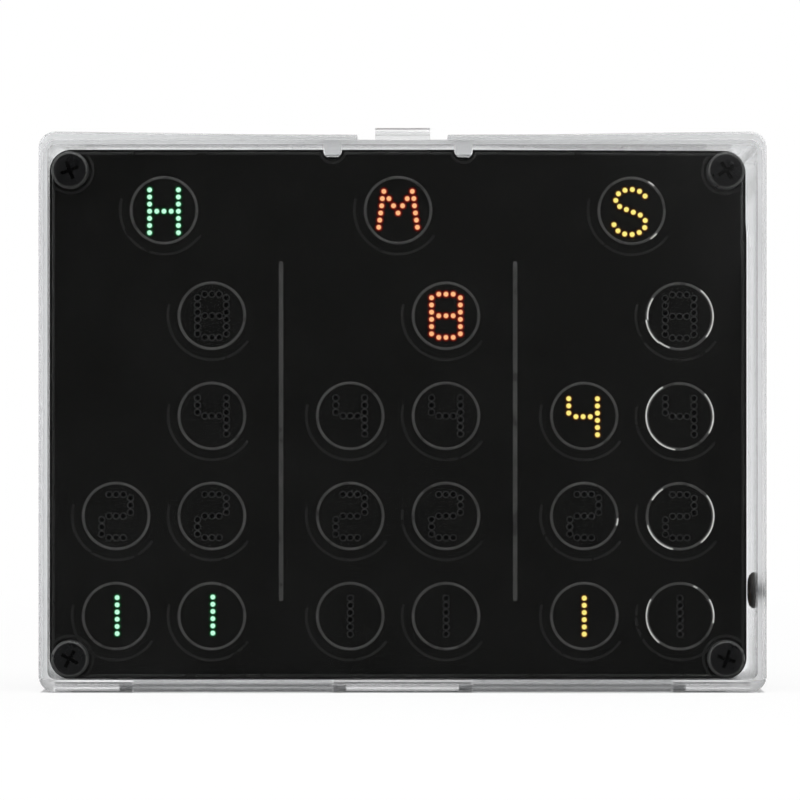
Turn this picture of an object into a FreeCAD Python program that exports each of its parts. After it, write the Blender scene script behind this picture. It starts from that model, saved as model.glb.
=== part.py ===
import FreeCAD, Part
import math
import os
import Sketcher
from FreeCAD import Placement, Rotation, Vector

# Binary clock in a clear hinged box.
# X runs across the dial, Y runs from the front (negative) to the back, Z is up.
# The clock stands on the bottom wall of its clear tray.  The origin is in the plane of
# that base, half way across, and half way from the lid's face to the button tips.
# Depths are counted back from the lid's front face.

doc = FreeCAD.newDocument("binary_clock")
sheet = doc.addObject("Spreadsheet::Sheet", "Sheet")


class Size:
    """A length that carries its number and the sheet expression that gives it."""

    def __init__(self, number, text):
        self.number = number
        self.text = text

    def __add__(self, other):
        other = plain(other)
        return Size(self.number + other.number, "(%s + %s)" % (self.text, other.text))

    def __sub__(self, other):
        other = plain(other)
        return Size(self.number - other.number, "(%s - %s)" % (self.text, other.text))

    def __mul__(self, other):
        other = plain(other)
        return Size(self.number * other.number, "(%s * %s)" % (self.text, other.text))

    def __truediv__(self, other):
        other = plain(other)
        return Size(self.number / other.number, "(%s / %s)" % (self.text, other.text))

    def __neg__(self):
        return Size(-self.number, "(0 - %s)" % self.text)


def plain(amount):
    """A Size, made from a bare number where one is given."""
    if isinstance(amount, Size):
        return amount
    return Size(float(amount), "(%r)" % float(amount))


def driving(alias, number):
    """One driving dimension: a row of the sheet with an alias."""
    driving.row += 1
    cell = "B%d" % driving.row
    sheet.set("A%d" % driving.row, alias.replace("_", " "))
    sheet.set(cell, str(number))
    sheet.setAlias(cell, alias)
    return Size(float(number), "Sheet." + alias)


driving.row = 0

# ---------------------------------------------------------------- driving dimensions

# clear box
case_width = driving("case_width", 100.8)
case_height = driving("case_height", 77.7)
base_wall = driving("base_wall", 1.72)
back_wall = driving("back_wall", 1.4)
rim_wall = driving("rim_wall", 0.6)
skirt_wall = driving("skirt_wall", 0.55)
skirt_crown = driving("skirt_crown", 0.65)
top_bow = driving("top_bow", 0.5)
corner_round = driving("corner_round", 2.3)
cavity_round = driving("cavity_round", 1.2)
back_bevel = driving("back_bevel", 1.0)
rim_round = driving("rim_round", 2.1)
skirt_round = driving("skirt_round", 1.6)
lid_plate = driving("lid_plate", 1.1)
lid_edge_bevel = driving("lid_edge_bevel", 0.3)
skirt_reach = driving("skirt_reach", 6.0)
lid_gap = driving("lid_gap", 0.05)
shoulder_gap = driving("shoulder_gap", 0.1)

# hinge along the bottom front edge
hinge_inner = driving("hinge_inner", 9.6)
hinge_outer = driving("hinge_outer", 37.4)
hinge_rise = driving("hinge_rise", 0.7)
hinge_end_gap = driving("hinge_end_gap", 0.15)
knuckle_step = driving("knuckle_step", 0.07)
knuckle_gap = driving("knuckle_gap", 0.12)
pin_radius = driving("pin_radius", 0.3)
pin_reach = driving("pin_reach", 1.6)
pin_play = driving("pin_play", 0.05)

# thumb tab and locating ribs
tab_width = driving("tab_width", 7.6)
tab_reach = driving("tab_reach", 0.95)
tab_depth = driving("tab_depth", 3.0)
tab_bevel = driving("tab_bevel", 0.6)
slot_width = driving("slot_width", 2.45)
rib_spacing = driving("rib_spacing", 18.2)
rib_root = driving("rib_root", 2.6)
rib_tip = driving("rib_tip", 2.0)
rib_bite = driving("rib_bite", 0.75)
rib_length = driving("rib_length", 8.0)

# module behind the lid
side_play = driving("side_play", 1.65)
top_play = driving("top_play", 0.68)
side_rest = driving("side_rest", 0.2)
head_gap = driving("head_gap", 0.5)
panel_thickness = driving("panel_thickness", 1.6)
panel_round = driving("panel_round", 3.0)
notch_radius = driving("notch_radius", 1.3)
board_thickness = driving("board_thickness", 1.6)
board_margin = driving("board_margin", 0.5)
screw_inset = driving("screw_inset", 2.85)
screw_radius = driving("screw_radius", 1.45)
screw_length = driving("screw_length", 6.0)
screw_play = driving("screw_play", 0.05)
hole_play = driving("hole_play", 0.15)
head_radius = driving("head_radius", 2.58)
head_height = driving("head_height", 1.7)
recess_width = driving("recess_width", 0.62)
recess_span = driving("recess_span", 2.7)
recess_depth = driving("recess_depth", 0.9)
spacer_side = driving("spacer_side", 2.9)
stud_length = driving("stud_length", 4.0)
rear_gap = driving("rear_gap", 0.1)

# round lamps
lamp_radius = driving("lamp_radius", 4.0)
lamp_height = driving("lamp_height", 10.7)
lamp_gap = driving("lamp_gap", 0.3)
side_margin = driving("side_margin", 15.875)
column_pitch = driving("column_pitch", 13.3)
bottom_margin = driving("bottom_margin", 8.75)
top_margin = driving("top_margin", 8.4)
header_step = driving("header_step", 14.65)

# parts on the back of the board
chip_width = driving("chip_width", 6.6)
chip_thickness = driving("chip_thickness", 3.3)
chip_stand = driving("chip_stand", 0.5)
chip_row = driving("chip_row", 7.62)
chip_pitch = driving("chip_pitch", 2.54)
chip_notch = driving("chip_notch", 0.8)
leg_thickness = driving("leg_thickness", 0.25)
leg_shoulder = driving("leg_shoulder", 1.4)
socket_width = driving("socket_width", 10.0)
socket_height = driving("socket_height", 4.2)
socket_wall = driving("socket_wall", 2.6)
controller_pins = driving("controller_pins", 14)
clock_chip_pins = driving("clock_chip_pins", 4)
cell_radius = driving("cell_radius", 10.0)
cell_thickness = driving("cell_thickness", 3.2)
cell_play = driving("cell_play", 0.15)
holder_wall = driving("holder_wall", 1.2)
holder_lip = driving("holder_lip", 1.0)
clip_width = driving("clip_width", 5.0)
clip_thickness = driving("clip_thickness", 0.4)
buzzer_radius = driving("buzzer_radius", 6.0)
buzzer_height = driving("buzzer_height", 8.4)
buzzer_port = driving("buzzer_port", 1.0)
rear_clearance = driving("rear_clearance", 1.6)
crystal_radius = driving("crystal_radius", 1.0)
crystal_length = driving("crystal_length", 6.0)
transistor_radius = driving("transistor_radius", 2.35)
transistor_flat = driving("transistor_flat", 1.3)
transistor_height = driving("transistor_height", 4.6)
transistor_stand = driving("transistor_stand", 2.0)
transistor_pitch = driving("transistor_pitch", 8.0)
resistor_radius = driving("resistor_radius", 1.15)
resistor_length = driving("resistor_length", 6.2)
resistor_span = driving("resistor_span", 10.16)
resistor_pitch = driving("resistor_pitch", 5.4)
lead_width = driving("lead_width", 0.5)
lead_pitch = driving("lead_pitch", 1.27)
disc_radius = driving("disc_radius", 2.3)
disc_thickness = driving("disc_thickness", 2.2)
can_radius = driving("can_radius", 2.5)
can_height = driving("can_height", 7.2)
shroud_width = driving("shroud_width", 7.5)
shroud_depth = driving("shroud_depth", 5.7)
shroud_height = driving("shroud_height", 7.0)
shroud_wall = driving("shroud_wall", 0.8)
post_width = driving("post_width", 0.64)
post_height = driving("post_height", 8.3)
strip_height = driving("strip_height", 2.5)

# push buttons
switch_side = driving("switch_side", 6.0)
switch_height = driving("switch_height", 3.5)
switch_floor = driving("switch_floor", 0.8)
stem_radius = driving("stem_radius", 1.7)
stem_reach = driving("stem_reach", 0.5)
stem_play = driving("stem_play", 0.08)
stem_hole_play = driving("stem_hole_play", 0.4)
button_travel = driving("button_travel", 0.25)
button_pitch = driving("button_pitch", 12.0)

# cable grommet in the right wall
grommet_rise = driving("grommet_rise", 13.9)
grommet_depth = driving("grommet_depth", 9.0)
grommet_neck = driving("grommet_neck", 1.05)
grommet_bore = driving("grommet_bore", 0.6)
grommet_flange_radius = driving("grommet_flange_radius", 2.55)
grommet_flange = driving("grommet_flange", 1.0)

# ---------------------------------------------------------------- places worked out

half_width = case_width / 2
rim_half = half_width - skirt_wall - lid_gap
cavity_half = rim_half - rim_wall
crown_height = case_height - top_bow
rim_top = crown_height - skirt_crown - lid_gap
cavity_top = rim_top - rim_wall
axis_height = hinge_rise
lid_barrel = axis_height - knuckle_step
lid_low = base_wall + knuckle_gap
rim_front = lid_plate + shoulder_gap
shoulder = skirt_reach + shoulder_gap
channel_half = tab_width / 2 + slot_width

panel_width = cavity_half * 2 - side_play
panel_height = cavity_top - base_wall - top_play
panel_x = -(cavity_half - side_rest - panel_width / 2)
panel_z = base_wall + panel_height / 2
panel_front = lid_plate + head_gap + head_height
panel_back = panel_front + panel_thickness
spacer_length = lamp_gap + lamp_height
board_front = panel_back + spacer_length
board_back = board_front + board_thickness
rear_space = buzzer_height + rear_clearance
floor_inside = board_back + rear_space + rear_gap
case_depth = floor_inside + back_wall
front = -(case_depth + stem_reach) / 2
screw_x = panel_width / 2 - screw_inset
screw_z = panel_height / 2 - screw_inset
screw_hole = screw_radius + hole_play

board_half = panel_width / 2 - board_margin
board_rise = panel_height / 2 - board_margin
group_pitch = panel_width / 2 - side_margin
row_pitch = (panel_height - bottom_margin - top_margin - header_step) / 3
lowest_row = bottom_margin - panel_height / 2
label_row = panel_height / 2 - top_margin

button_x = board_half * 0.5
button_z = board_rise * 0.7

SIDES = (-1, 1)
LAMP_SIDES = 20
THREAD_SIDES = 12
HOLE_SIDES = 24
NODES = []


# ---------------------------------------------------------------- document helpers


def bind(thing, path, size):
    """Ties one property of a document object to the sheet."""
    thing.setExpression(path, plain(size).text)


def place(thing, x, y, z, rotation=None):
    """Puts a sub-part in the clock: y is counted back from the lid's face."""
    if rotation is not None:
        thing.Placement = Placement(Vector(0, 0, 0), rotation)
    bind(thing, "Placement.Base.x", x)
    bind(thing, "Placement.Base.y", front + y)
    bind(thing, "Placement.Base.z", z)
    return thing


def keep(thing, label):
    """Names a finished sub-part and puts it on the list of files to write."""
    thing.Label = label
    NODES.append(thing)
    return thing


def new_body(name):
    return doc.addObject("PartDesign::Body", name)


def new_sketch(body, name, plane="XZ_Plane", back=0.0, rise=0.0):
    """A sketch on one of the body's origin planes.

    On XZ_Plane it lies `back` behind the body's origin and is raised by `rise`.
    On the other planes `back` moves it along the plane's normal instead.
    """
    sketch = body.newObject("Sketcher::SketchObject", name)
    support = [o for o in body.Origin.OriginFeatures if o.Role == plane][0]
    sketch.AttachmentSupport = (support, [""])
    sketch.MapMode = "FlatFace"
    along = plain(back)
    if plane == "XZ_Plane":
        along = -along
    bind(sketch, "AttachmentOffset.Base.z", along)
    bind(sketch, "AttachmentOffset.Base.y", rise)
    return sketch


def fix_point(sketch, edge, end, x, y):
    """Dimensions one point of a sketch from the sketch's origin."""
    for kind, where in (("DistanceX", plain(x)), ("DistanceY", plain(y))):
        index = sketch.addConstraint(Sketcher.Constraint(kind, -1, 1, edge, end, where.number))
        bind(sketch, "Constraints[%d]" % index, where)


def add_polygon(sketch, corners):
    """A closed outline of straight lines with every corner dimensioned."""
    spots = [Vector(plain(x).number, plain(y).number, 0) for x, y in corners]
    first = sketch.GeometryCount
    for i, spot in enumerate(spots):
        sketch.addGeometry(Part.LineSegment(spot, spots[(i + 1) % len(spots)]), False)
    for i, (x, y) in enumerate(corners):
        following = first + (i + 1) % len(spots)
        sketch.addConstraint(Sketcher.Constraint("Coincident", first + i, 2, following, 1))
        fix_point(sketch, first + i, 1, x, y)


def add_rectangle(sketch, low_x, high_x, low_y, high_y):
    add_polygon(sketch, [(low_x, low_y), (high_x, low_y), (high_x, high_y), (low_x, high_y)])


def add_square(sketch, x, y, width):
    x = plain(x)
    y = plain(y)
    add_rectangle(sketch, x - width / 2, x + width / 2, y - width / 2, y + width / 2)


def add_circle(sketch, x, y, radius):
    centre = Vector(plain(x).number, plain(y).number, 0)
    circle = Part.Circle(centre, Vector(0, 0, 1), plain(radius).number)
    edge = sketch.addGeometry(circle, False)
    fix_point(sketch, edge, 3, x, y)
    index = sketch.addConstraint(Sketcher.Constraint("Radius", edge, plain(radius).number))
    bind(sketch, "Constraints[%d]" % index, radius)


def add_many_sided(sketch, x, y, radius, sides):
    """A round outline of straight sides, for the threads and holes that repeat."""
    step = math.pi * 2 / sides
    corners = []
    for i in range(sides):
        corners.append((radius * math.cos(step * i) + x, radius * math.sin(step * i) + y))
    add_polygon(sketch, corners)


def add_case_outline(sketch):
    """The box seen from the front: square but for a top edge that dips in the middle."""
    low = case_height * 0
    spots = [(-half_width, low), (half_width, low), (half_width, case_height),
             (-half_width, case_height)]
    a, b, c, d = [Vector(x.number, z.number, 0) for x, z in spots]
    dip = Vector(0, crown_height.number, 0)
    sketch.addGeometry(Part.LineSegment(a, b), False)
    sketch.addGeometry(Part.LineSegment(b, c), False)
    sketch.addGeometry(Part.Arc(d, dip, c), False)
    sketch.addGeometry(Part.LineSegment(d, a), False)
    left_end = 1
    right_end = 2
    if sketch.Geometry[2].StartPoint.x > 0:
        left_end = 2
        right_end = 1
    sketch.addConstraint(Sketcher.Constraint("Coincident", 0, 2, 1, 1))
    sketch.addConstraint(Sketcher.Constraint("Coincident", 1, 2, 2, right_end))
    sketch.addConstraint(Sketcher.Constraint("Coincident", 2, left_end, 3, 1))
    sketch.addConstraint(Sketcher.Constraint("Coincident", 3, 2, 0, 1))
    fix_point(sketch, 0, 1, *spots[0])
    fix_point(sketch, 0, 2, *spots[1])
    fix_point(sketch, 1, 2, *spots[2])
    fix_point(sketch, 3, 1, *spots[3])
    sweep = (half_width * half_width + top_bow * top_bow) / (top_bow * 2)
    index = sketch.addConstraint(Sketcher.Constraint("Radius", 2, sweep.number))
    bind(sketch, "Constraints[%d]" % index, sweep)


def pad(body, sketch, length, forwards=False, midplane=False):
    """Adds a sketch's thickness, towards the back of the clock unless told otherwise."""
    feature = body.newObject("PartDesign::Pad", sketch.Name + "_pad")
    feature.Profile = sketch
    bind(feature, "Length", length)
    feature.Midplane = midplane
    if not midplane:
        feature.Reversed = not forwards
    body.Tip = feature
    return feature


def pocket(body, sketch, length, forwards=False):
    """Removes a sketch's thickness; the volume before and after is compared."""
    doc.recompute()
    before = body.Tip.Shape.Volume
    feature = body.newObject("PartDesign::Pocket", sketch.Name + "_pocket")
    feature.Profile = sketch
    bind(feature, "Length", length)
    feature.Reversed = forwards
    body.Tip = feature
    doc.recompute()
    if feature.Shape.Volume > before - 1e-4:
        raise RuntimeError("pocket %s removes nothing" % feature.Name)
    return feature


def turn(body, sketch, axis, cut=False):
    """Revolves a sketch a full turn about one of its own axes, to add or to cut."""
    doc.recompute()
    before = body.Tip.Shape.Volume if body.Tip else 0.0
    kind = "PartDesign::Groove" if cut else "PartDesign::Revolution"
    feature = body.newObject(kind, sketch.Name + "_turned")
    feature.Profile = sketch
    feature.ReferenceAxis = (sketch, [axis])
    feature.Angle = 360
    body.Tip = feature
    doc.recompute()
    change = feature.Shape.Volume - before
    if (change > -1e-4) if cut else (change < 1e-4):
        raise RuntimeError("turning %s changes nothing" % feature.Name)
    return feature


def soften(body, kind, name, size, wanted):
    """A Fillet or Chamfer on the edges of the body's tip that pass a test."""
    doc.recompute()
    base = body.Tip
    names = []
    for i, edge in enumerate(base.Shape.Edges):
        half_way = (edge.FirstParameter + edge.LastParameter) / 2
        if wanted(edge.valueAt(half_way), edge.tangentAt(half_way)):
            names.append("Edge%d" % (i + 1))
    if not names:
        raise RuntimeError("no edges found for " + name)
    feature = body.newObject("PartDesign::" + kind, name)
    feature.Base = (base, names)
    bind(feature, "Radius" if kind == "Fillet" else "Size", size)
    body.Tip = feature
    return feature


def near(a, b):
    return abs(a - b) < 1e-4


def row_of(body, original, sketch, axis, length, count):
    """Repeats a feature in a row along an axis of its own sketch."""
    pattern = body.newObject("PartDesign::LinearPattern", original.Name + "_row")
    pattern.Originals = [original]
    pattern.Direction = (sketch, [axis])
    bind(pattern, "Length", length)
    bind(pattern, "Occurrences", count)
    body.Tip = pattern
    return pattern


def group(label, members):
    """One node that holds several identical separate fasteners."""
    together = doc.addObject("Part::Compound", label + "_set")
    together.Links = members
    return keep(together, label)


def solid_cylinder(name, radius, length):
    cylinder = doc.addObject("Part::Cylinder", name)
    bind(cylinder, "Radius", radius)
    bind(cylinder, "Height", length)
    return cylinder


def on_board(thing, x, z):
    """Seats a sub-part on the back of the main board, x and z from the board's middle."""
    return place(thing, panel_x + x, board_back, panel_z + z)


# ---------------------------------------------------------------- clear box


def hinge_spans():
    """The two stretches of the bottom edge that hold the lid's knuckles."""
    return ((-hinge_outer, -hinge_inner), (hinge_inner, hinge_outer))


def make_tray():
    """The deep half of the box, with a thin rim for the lid and three hinge knuckles."""
    body = new_body("tray")
    outline = new_sketch(body, "tray_outline", back=axis_height)
    add_case_outline(outline)
    pad(body, outline, case_depth - axis_height)
    soften(body, "Fillet", "tray_corners", corner_round,
           lambda p, t: abs(t.y) > 0.9 and near(abs(p.x), half_width.number))
    soften(body, "Chamfer", "tray_back_edge", back_bevel,
           lambda p, t: near(p.y, case_depth.number))

    cavity = new_sketch(body, "tray_cavity", back=axis_height)
    add_rectangle(cavity, -cavity_half, cavity_half, base_wall, cavity_top)
    pocket(body, cavity, floor_inside - axis_height)
    soften(body, "Fillet", "tray_cavity_corners", cavity_round,
           lambda p, t: abs(t.y) > 0.9 and near(abs(p.x), cavity_half.number))

    mouth = new_sketch(body, "tray_mouth", back=axis_height)
    add_rectangle(mouth, -case_width, case_width, base_wall, case_height * 2)
    pocket(body, mouth, rim_front - axis_height)

    rebate = new_sketch(body, "tray_rebate", back=axis_height)
    add_polygon(rebate, [
        (-case_width, base_wall), (-rim_half, base_wall), (-rim_half, rim_top),
        (rim_half, rim_top), (rim_half, base_wall), (case_width, base_wall),
        (case_width, case_height * 2), (-case_width, case_height * 2),
    ])
    pocket(body, rebate, shoulder - axis_height)
    soften(body, "Fillet", "tray_rim_corners", rim_round,
           lambda p, t: abs(t.y) > 0.9 and near(abs(p.x), rim_half.number)
           and near(p.z, rim_top.number) and p.y < shoulder.number)

    channel = new_sketch(body, "tray_thumb_channel", back=axis_height)
    add_rectangle(channel, -channel_half, channel_half, rim_top, case_height * 2)
    pocket(body, channel, case_depth)

    relief = new_sketch(body, "tray_hinge_relief")
    for low, high in hinge_spans():
        add_rectangle(relief, low, high, -base_wall, base_wall)
    pocket(body, relief, axis_height + lid_barrel + hinge_end_gap)

    end = half_width - corner_round
    zero = case_width * 0
    knuckles = new_sketch(body, "tray_knuckles", back=axis_height, rise=axis_height)
    for low, high in ((-end, -hinge_outer), (-hinge_inner, hinge_inner), (hinge_outer, end)):
        add_rectangle(knuckles, low, high, -axis_height, zero)
    turn(body, knuckles, "H_Axis")

    pin_bore = pin_radius + pin_play
    bore_reach = pin_reach + hinge_end_gap + pin_play
    bores = new_sketch(body, "tray_pin_bores", back=axis_height, rise=axis_height)
    for low, high in hinge_spans():
        add_rectangle(bores, low - bore_reach, low, -pin_bore, zero)
        add_rectangle(bores, high, high + bore_reach, -pin_bore, zero)
    turn(body, bores, "H_Axis", cut=True)

    ribs = new_sketch(body, "tray_ribs", back=rim_front)
    for side in SIDES:
        middle = panel_x + rib_spacing / 2 * side
        root = cavity_top + rim_wall / 2
        tip = cavity_top - top_play - rib_bite
        add_polygon(ribs, [
            (middle - rib_root / 2, root), (middle + rib_root / 2, root),
            (middle + rib_tip / 2, tip), (middle - rib_tip / 2, tip),
        ])
    pad(body, ribs, rib_length)

    stem_holes = new_sketch(body, "tray_stem_holes", back=floor_inside)
    for x in button_places():
        add_circle(stem_holes, panel_x + x, panel_z + button_z, stem_radius + stem_hole_play)
    pocket(body, stem_holes, back_wall * 2)

    cable_hole = new_sketch(body, "tray_cable_hole", "YZ_Plane", half_width + rim_wall)
    add_circle(cable_hole, grommet_depth, grommet_rise, grommet_neck)
    pocket(body, cable_hole, half_width - cavity_half + rim_wall * 2)

    place(body, 0, 0, 0)
    keep(body, "tray")


def make_lid():
    """The front half: a plate with a skirt on three sides, a tab and two knuckles."""
    body = new_body("lid")
    outline = new_sketch(body, "lid_outline")
    add_case_outline(outline)
    pad(body, outline, skirt_reach)
    soften(body, "Fillet", "lid_corners", corner_round,
           lambda p, t: abs(t.y) > 0.9 and near(abs(p.x), half_width.number))
    soften(body, "Chamfer", "lid_front_edge", lid_edge_bevel,
           lambda p, t: near(p.y, 0.0))

    inside = new_sketch(body, "lid_inside", back=lid_plate)
    skirt_half = rim_half + lid_gap
    add_rectangle(inside, -skirt_half, skirt_half, -case_height, rim_top + lid_gap)
    pocket(body, inside, skirt_reach)
    soften(body, "Fillet", "lid_inner_corners", skirt_round,
           lambda p, t: abs(t.y) > 0.9 and near(abs(p.x), skirt_half.number)
           and near(p.z, (rim_top + lid_gap).number))

    foot = new_sketch(body, "lid_foot")
    add_rectangle(foot, -case_width, case_width, -case_height, lid_low)
    pocket(body, foot, case_depth)

    slots = new_sketch(body, "lid_slots")
    for low, high in ((-channel_half, -tab_width / 2), (tab_width / 2, channel_half)):
        add_rectangle(slots, low, high, rim_top, case_height * 2)
    pocket(body, slots, case_depth)

    tab = new_sketch(body, "lid_tab")
    tab_top = crown_height + tab_reach
    add_rectangle(tab, -tab_width / 2, tab_width / 2, rim_top + lid_gap, tab_top)
    pad(body, tab, tab_depth)
    soften(body, "Chamfer", "lid_tab_bevel", tab_bevel,
           lambda p, t: near(p.z, tab_top.number) and near(p.y, 0.0))

    web = new_sketch(body, "lid_web", back=knuckle_step * 2)
    barrel = new_sketch(body, "lid_barrels", back=axis_height, rise=axis_height)
    zero = case_width * 0
    for low, high in hinge_spans():
        low = low + hinge_end_gap
        high = high - hinge_end_gap
        add_rectangle(web, low, high, axis_height, lid_low + knuckle_gap)
        add_polygon(barrel, [
            (low - pin_reach, zero), (low - pin_reach, -pin_radius), (low, -pin_radius),
            (low, -lid_barrel), (high, -lid_barrel), (high, -pin_radius),
            (high + pin_reach, -pin_radius), (high + pin_reach, zero),
        ])
    pad(body, web, lid_plate - knuckle_step * 2)
    turn(body, barrel, "H_Axis")

    place(body, 0, 0, 0)
    keep(body, "lid")


def make_grommet():
    """Soft ring where the cable enters through the right wall."""
    body = new_body("cable_grommet")
    profile = new_sketch(body, "grommet_profile", "XY_Plane")
    wall = half_width - cavity_half
    zero = wall * 0
    add_polygon(profile, [
        (-grommet_flange, grommet_bore), (-grommet_flange, grommet_flange_radius),
        (zero, grommet_flange_radius), (zero, grommet_neck),
        (wall, grommet_neck), (wall, grommet_bore),
    ])
    turn(body, profile, "H_Axis")
    place(body, cavity_half, grommet_depth, grommet_rise)
    keep(body, "cable_grommet")


# ---------------------------------------------------------------- front of the module


def corner_spots():
    """The four screw positions from the middle of the panel."""
    return [(screw_x * i, screw_z * j) for i in SIDES for j in SIDES]


def make_plate(name, half, rise, thickness, y, notched):
    """A rounded board with a clearance hole in each corner."""
    body = new_body(name)
    outline = new_sketch(body, name + "_outline")
    add_rectangle(outline, -half, half, -rise, rise)
    for x, z in corner_spots():
        add_many_sided(outline, x, z, screw_hole, HOLE_SIDES)
    pad(body, outline, thickness)
    soften(body, "Fillet", name + "_corners", panel_round,
           lambda p, t: abs(t.y) > 0.9 and near(abs(p.x), half.number))
    if notched:
        notches = new_sketch(body, name + "_notches")
        for side in SIDES:
            add_circle(notches, rib_spacing / 2 * side, rise, notch_radius)
        pocket(body, notches, thickness)
    place(body, panel_x, y, panel_z)
    keep(body, name)


def pan_screw(name, x, z):
    """A pan-head screw with a cross recess, its head on the front of the panel."""
    body = new_body(name)
    head = new_sketch(body, name + "_head")
    add_circle(head, 0, 0, head_radius)
    pad(body, head, head_height, forwards=True)
    shank = new_sketch(body, name + "_shank")
    add_many_sided(shank, 0, 0, screw_radius, THREAD_SIDES)
    pad(body, shank, screw_length)
    cross = new_sketch(body, name + "_cross", back=-head_height)
    a = recess_width / 2
    b = recess_span / 2
    add_polygon(cross, [
        (-b, -a), (-a, -a), (-a, -b), (a, -b), (a, -a), (b, -a),
        (b, a), (a, a), (a, b), (-a, b), (-a, a), (-b, a),
    ])
    pocket(body, cross, recess_depth)
    return place(body, panel_x + x, panel_front, panel_z + z)


def hex_outline(sketch):
    """A hexagon with a corner to each side."""
    half = spacer_side / 2
    tall = spacer_side * 0.8660254
    zero = spacer_side * 0
    add_polygon(sketch, [
        (-spacer_side, zero), (-half, -tall), (half, -tall),
        (spacer_side, zero), (half, tall), (-half, tall),
    ])


def front_spacer(name, x, z):
    """A hexagonal tube between panel and board; the screw goes in at the front."""
    body = new_body(name)
    section = new_sketch(body, name + "_section")
    hex_outline(section)
    add_many_sided(section, 0, 0, screw_radius + screw_play, THREAD_SIDES)
    pad(body, section, spacer_length)
    return place(body, panel_x + x, panel_back, panel_z + z)


def rear_spacer(name, x, z):
    """A hexagonal rod behind the board with a stud that goes forward through it."""
    body = new_body(name)
    section = new_sketch(body, name + "_section")
    hex_outline(section)
    pad(body, section, rear_space)
    stud = new_sketch(body, name + "_stud")
    add_many_sided(stud, 0, 0, screw_radius, THREAD_SIDES)
    pad(body, stud, stud_length, forwards=True)
    return place(body, panel_x + x, board_back, panel_z + z)


def make_lamp(label, x, z):
    """A flat-topped round lamp that stands on the front of the board.

    It is a prism of many sides, because the clock has 23 of them.
    """
    lamp = doc.addObject("Part::Prism", label)
    lamp.Polygon = LAMP_SIDES
    bind(lamp, "Circumradius", lamp_radius)
    bind(lamp, "Height", lamp_height)
    turned = Rotation(Vector(1, 0, 0), 90)
    place(lamp, panel_x + x, board_front, panel_z + z, turned)
    keep(lamp, label)


def make_lamps():
    """Three groups: a heading lamp over a tens column and a ones column."""
    groups = (("hour", -1, (1, 2)), ("minute", 0, (1, 2, 4)), ("second", 1, (1, 2, 4)))
    for name, place_number, tens in groups:
        middle = group_pitch * place_number
        make_lamp("led_%ss_label" % name, middle, label_row)
        columns = (("tens", -1, tens), ("ones", 1, (1, 2, 4, 8)))
        for column, side, values in columns:
            for step, value in enumerate(values):
                x = middle + column_pitch / 2 * side
                z = lowest_row + row_pitch * step
                make_lamp("led_%s_%s_%d" % (name, column, value), x, z)


# ---------------------------------------------------------------- back of the board


def add_posts(body, name, spots, width, height):
    """Square leads or pins that stand on the board."""
    posts = new_sketch(body, name)
    for x, z in spots:
        add_square(posts, x, z, width)
    return pad(body, posts, height)


def make_socket(label, pins, x, z):
    body = new_body(label)
    frame = new_sketch(body, label + "_frame")
    half = pins * chip_pitch / 2
    add_rectangle(frame, -half, half, -socket_width / 2, socket_width / 2)
    inner = half - socket_wall
    add_rectangle(frame, -inner, inner, -socket_width / 2 + socket_wall,
                  socket_width / 2 - socket_wall)
    pad(body, frame, socket_height)
    on_board(body, x, z)
    keep(body, label)


def make_chip(label, pins, x, z):
    """A two-row chip: moulded body, a row of legs on each side, a notch at one end."""
    body = new_body(label)
    seat = socket_height + chip_stand
    half = pins * chip_pitch / 2 - chip_stand / 2
    case = new_sketch(body, label + "_case", back=seat)
    add_rectangle(case, -half, half, -chip_width / 2, chip_width / 2)
    pad(body, case, chip_thickness)
    notch = new_sketch(body, label + "_notch", back=seat + chip_thickness - leg_thickness)
    add_circle(notch, -half, 0, chip_notch)
    pocket(body, notch, chip_thickness)
    first = -(pins - 1) * chip_pitch / 2 - leg_shoulder / 2
    legs = new_sketch(body, label + "_legs", "YZ_Plane", first)
    bend = seat + chip_thickness / 2
    for side in SIDES:
        root = (chip_width / 2 - leg_thickness) * side
        outer = (chip_row / 2 + leg_thickness / 2) * side
        inner = (chip_row / 2 - leg_thickness / 2) * side
        add_polygon(legs, [
            (bend, root), (bend + leg_thickness, root), (bend + leg_thickness, outer),
            (socket_height, outer), (socket_height, inner), (bend, inner),
        ])
    leg_pad = pad(body, legs, leg_shoulder, forwards=True)
    row_of(body, leg_pad, legs, "N_Axis", (pins - 1) * chip_pitch, pins)
    on_board(body, x, z)
    keep(body, label)


def make_cell_set(x, z):
    """Back-up coin cell in a square holder, held down by a spring strap."""
    holder = new_body("cell_holder")
    bowl = new_sketch(holder, "holder_outline")
    inner = cell_radius + cell_play
    outer = inner + holder_wall
    height = holder_wall + cell_thickness + holder_lip
    add_square(bowl, 0, 0, outer * 2)
    pad(holder, bowl, height)
    well = new_sketch(holder, "holder_well", back=holder_wall)
    add_circle(well, 0, 0, inner)
    pocket(holder, well, height)
    way = new_sketch(holder, "holder_strap_way", back=holder_wall + cell_thickness)
    slack = clip_thickness / 2
    add_rectangle(way, -outer * 2, outer * 2, -clip_width / 2 - slack, clip_width / 2 + slack)
    pocket(holder, way, height)
    on_board(holder, x, z)
    keep(holder, "cell_holder")

    cell = solid_cylinder("coin_cell", cell_radius, cell_thickness)
    turned = Rotation(Vector(1, 0, 0), -90)
    place(cell, panel_x + x, board_back + holder_wall, panel_z + z, turned)
    keep(cell, "coin_cell")

    clip = new_body("cell_clip")
    strap = new_sketch(clip, "clip_section", "XY_Plane")
    low = holder_wall + cell_thickness
    high = low + clip_thickness
    near_side = outer + lead_width / 10
    far_side = near_side + clip_thickness
    zero = low * 0
    add_polygon(strap, [
        (-far_side, zero), (-near_side, zero), (-near_side, low), (near_side, low),
        (near_side, zero), (far_side, zero), (far_side, high), (-far_side, high),
    ])
    pad(clip, strap, clip_width, midplane=True)
    on_board(clip, x, z)
    keep(clip, "cell_clip")


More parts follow.
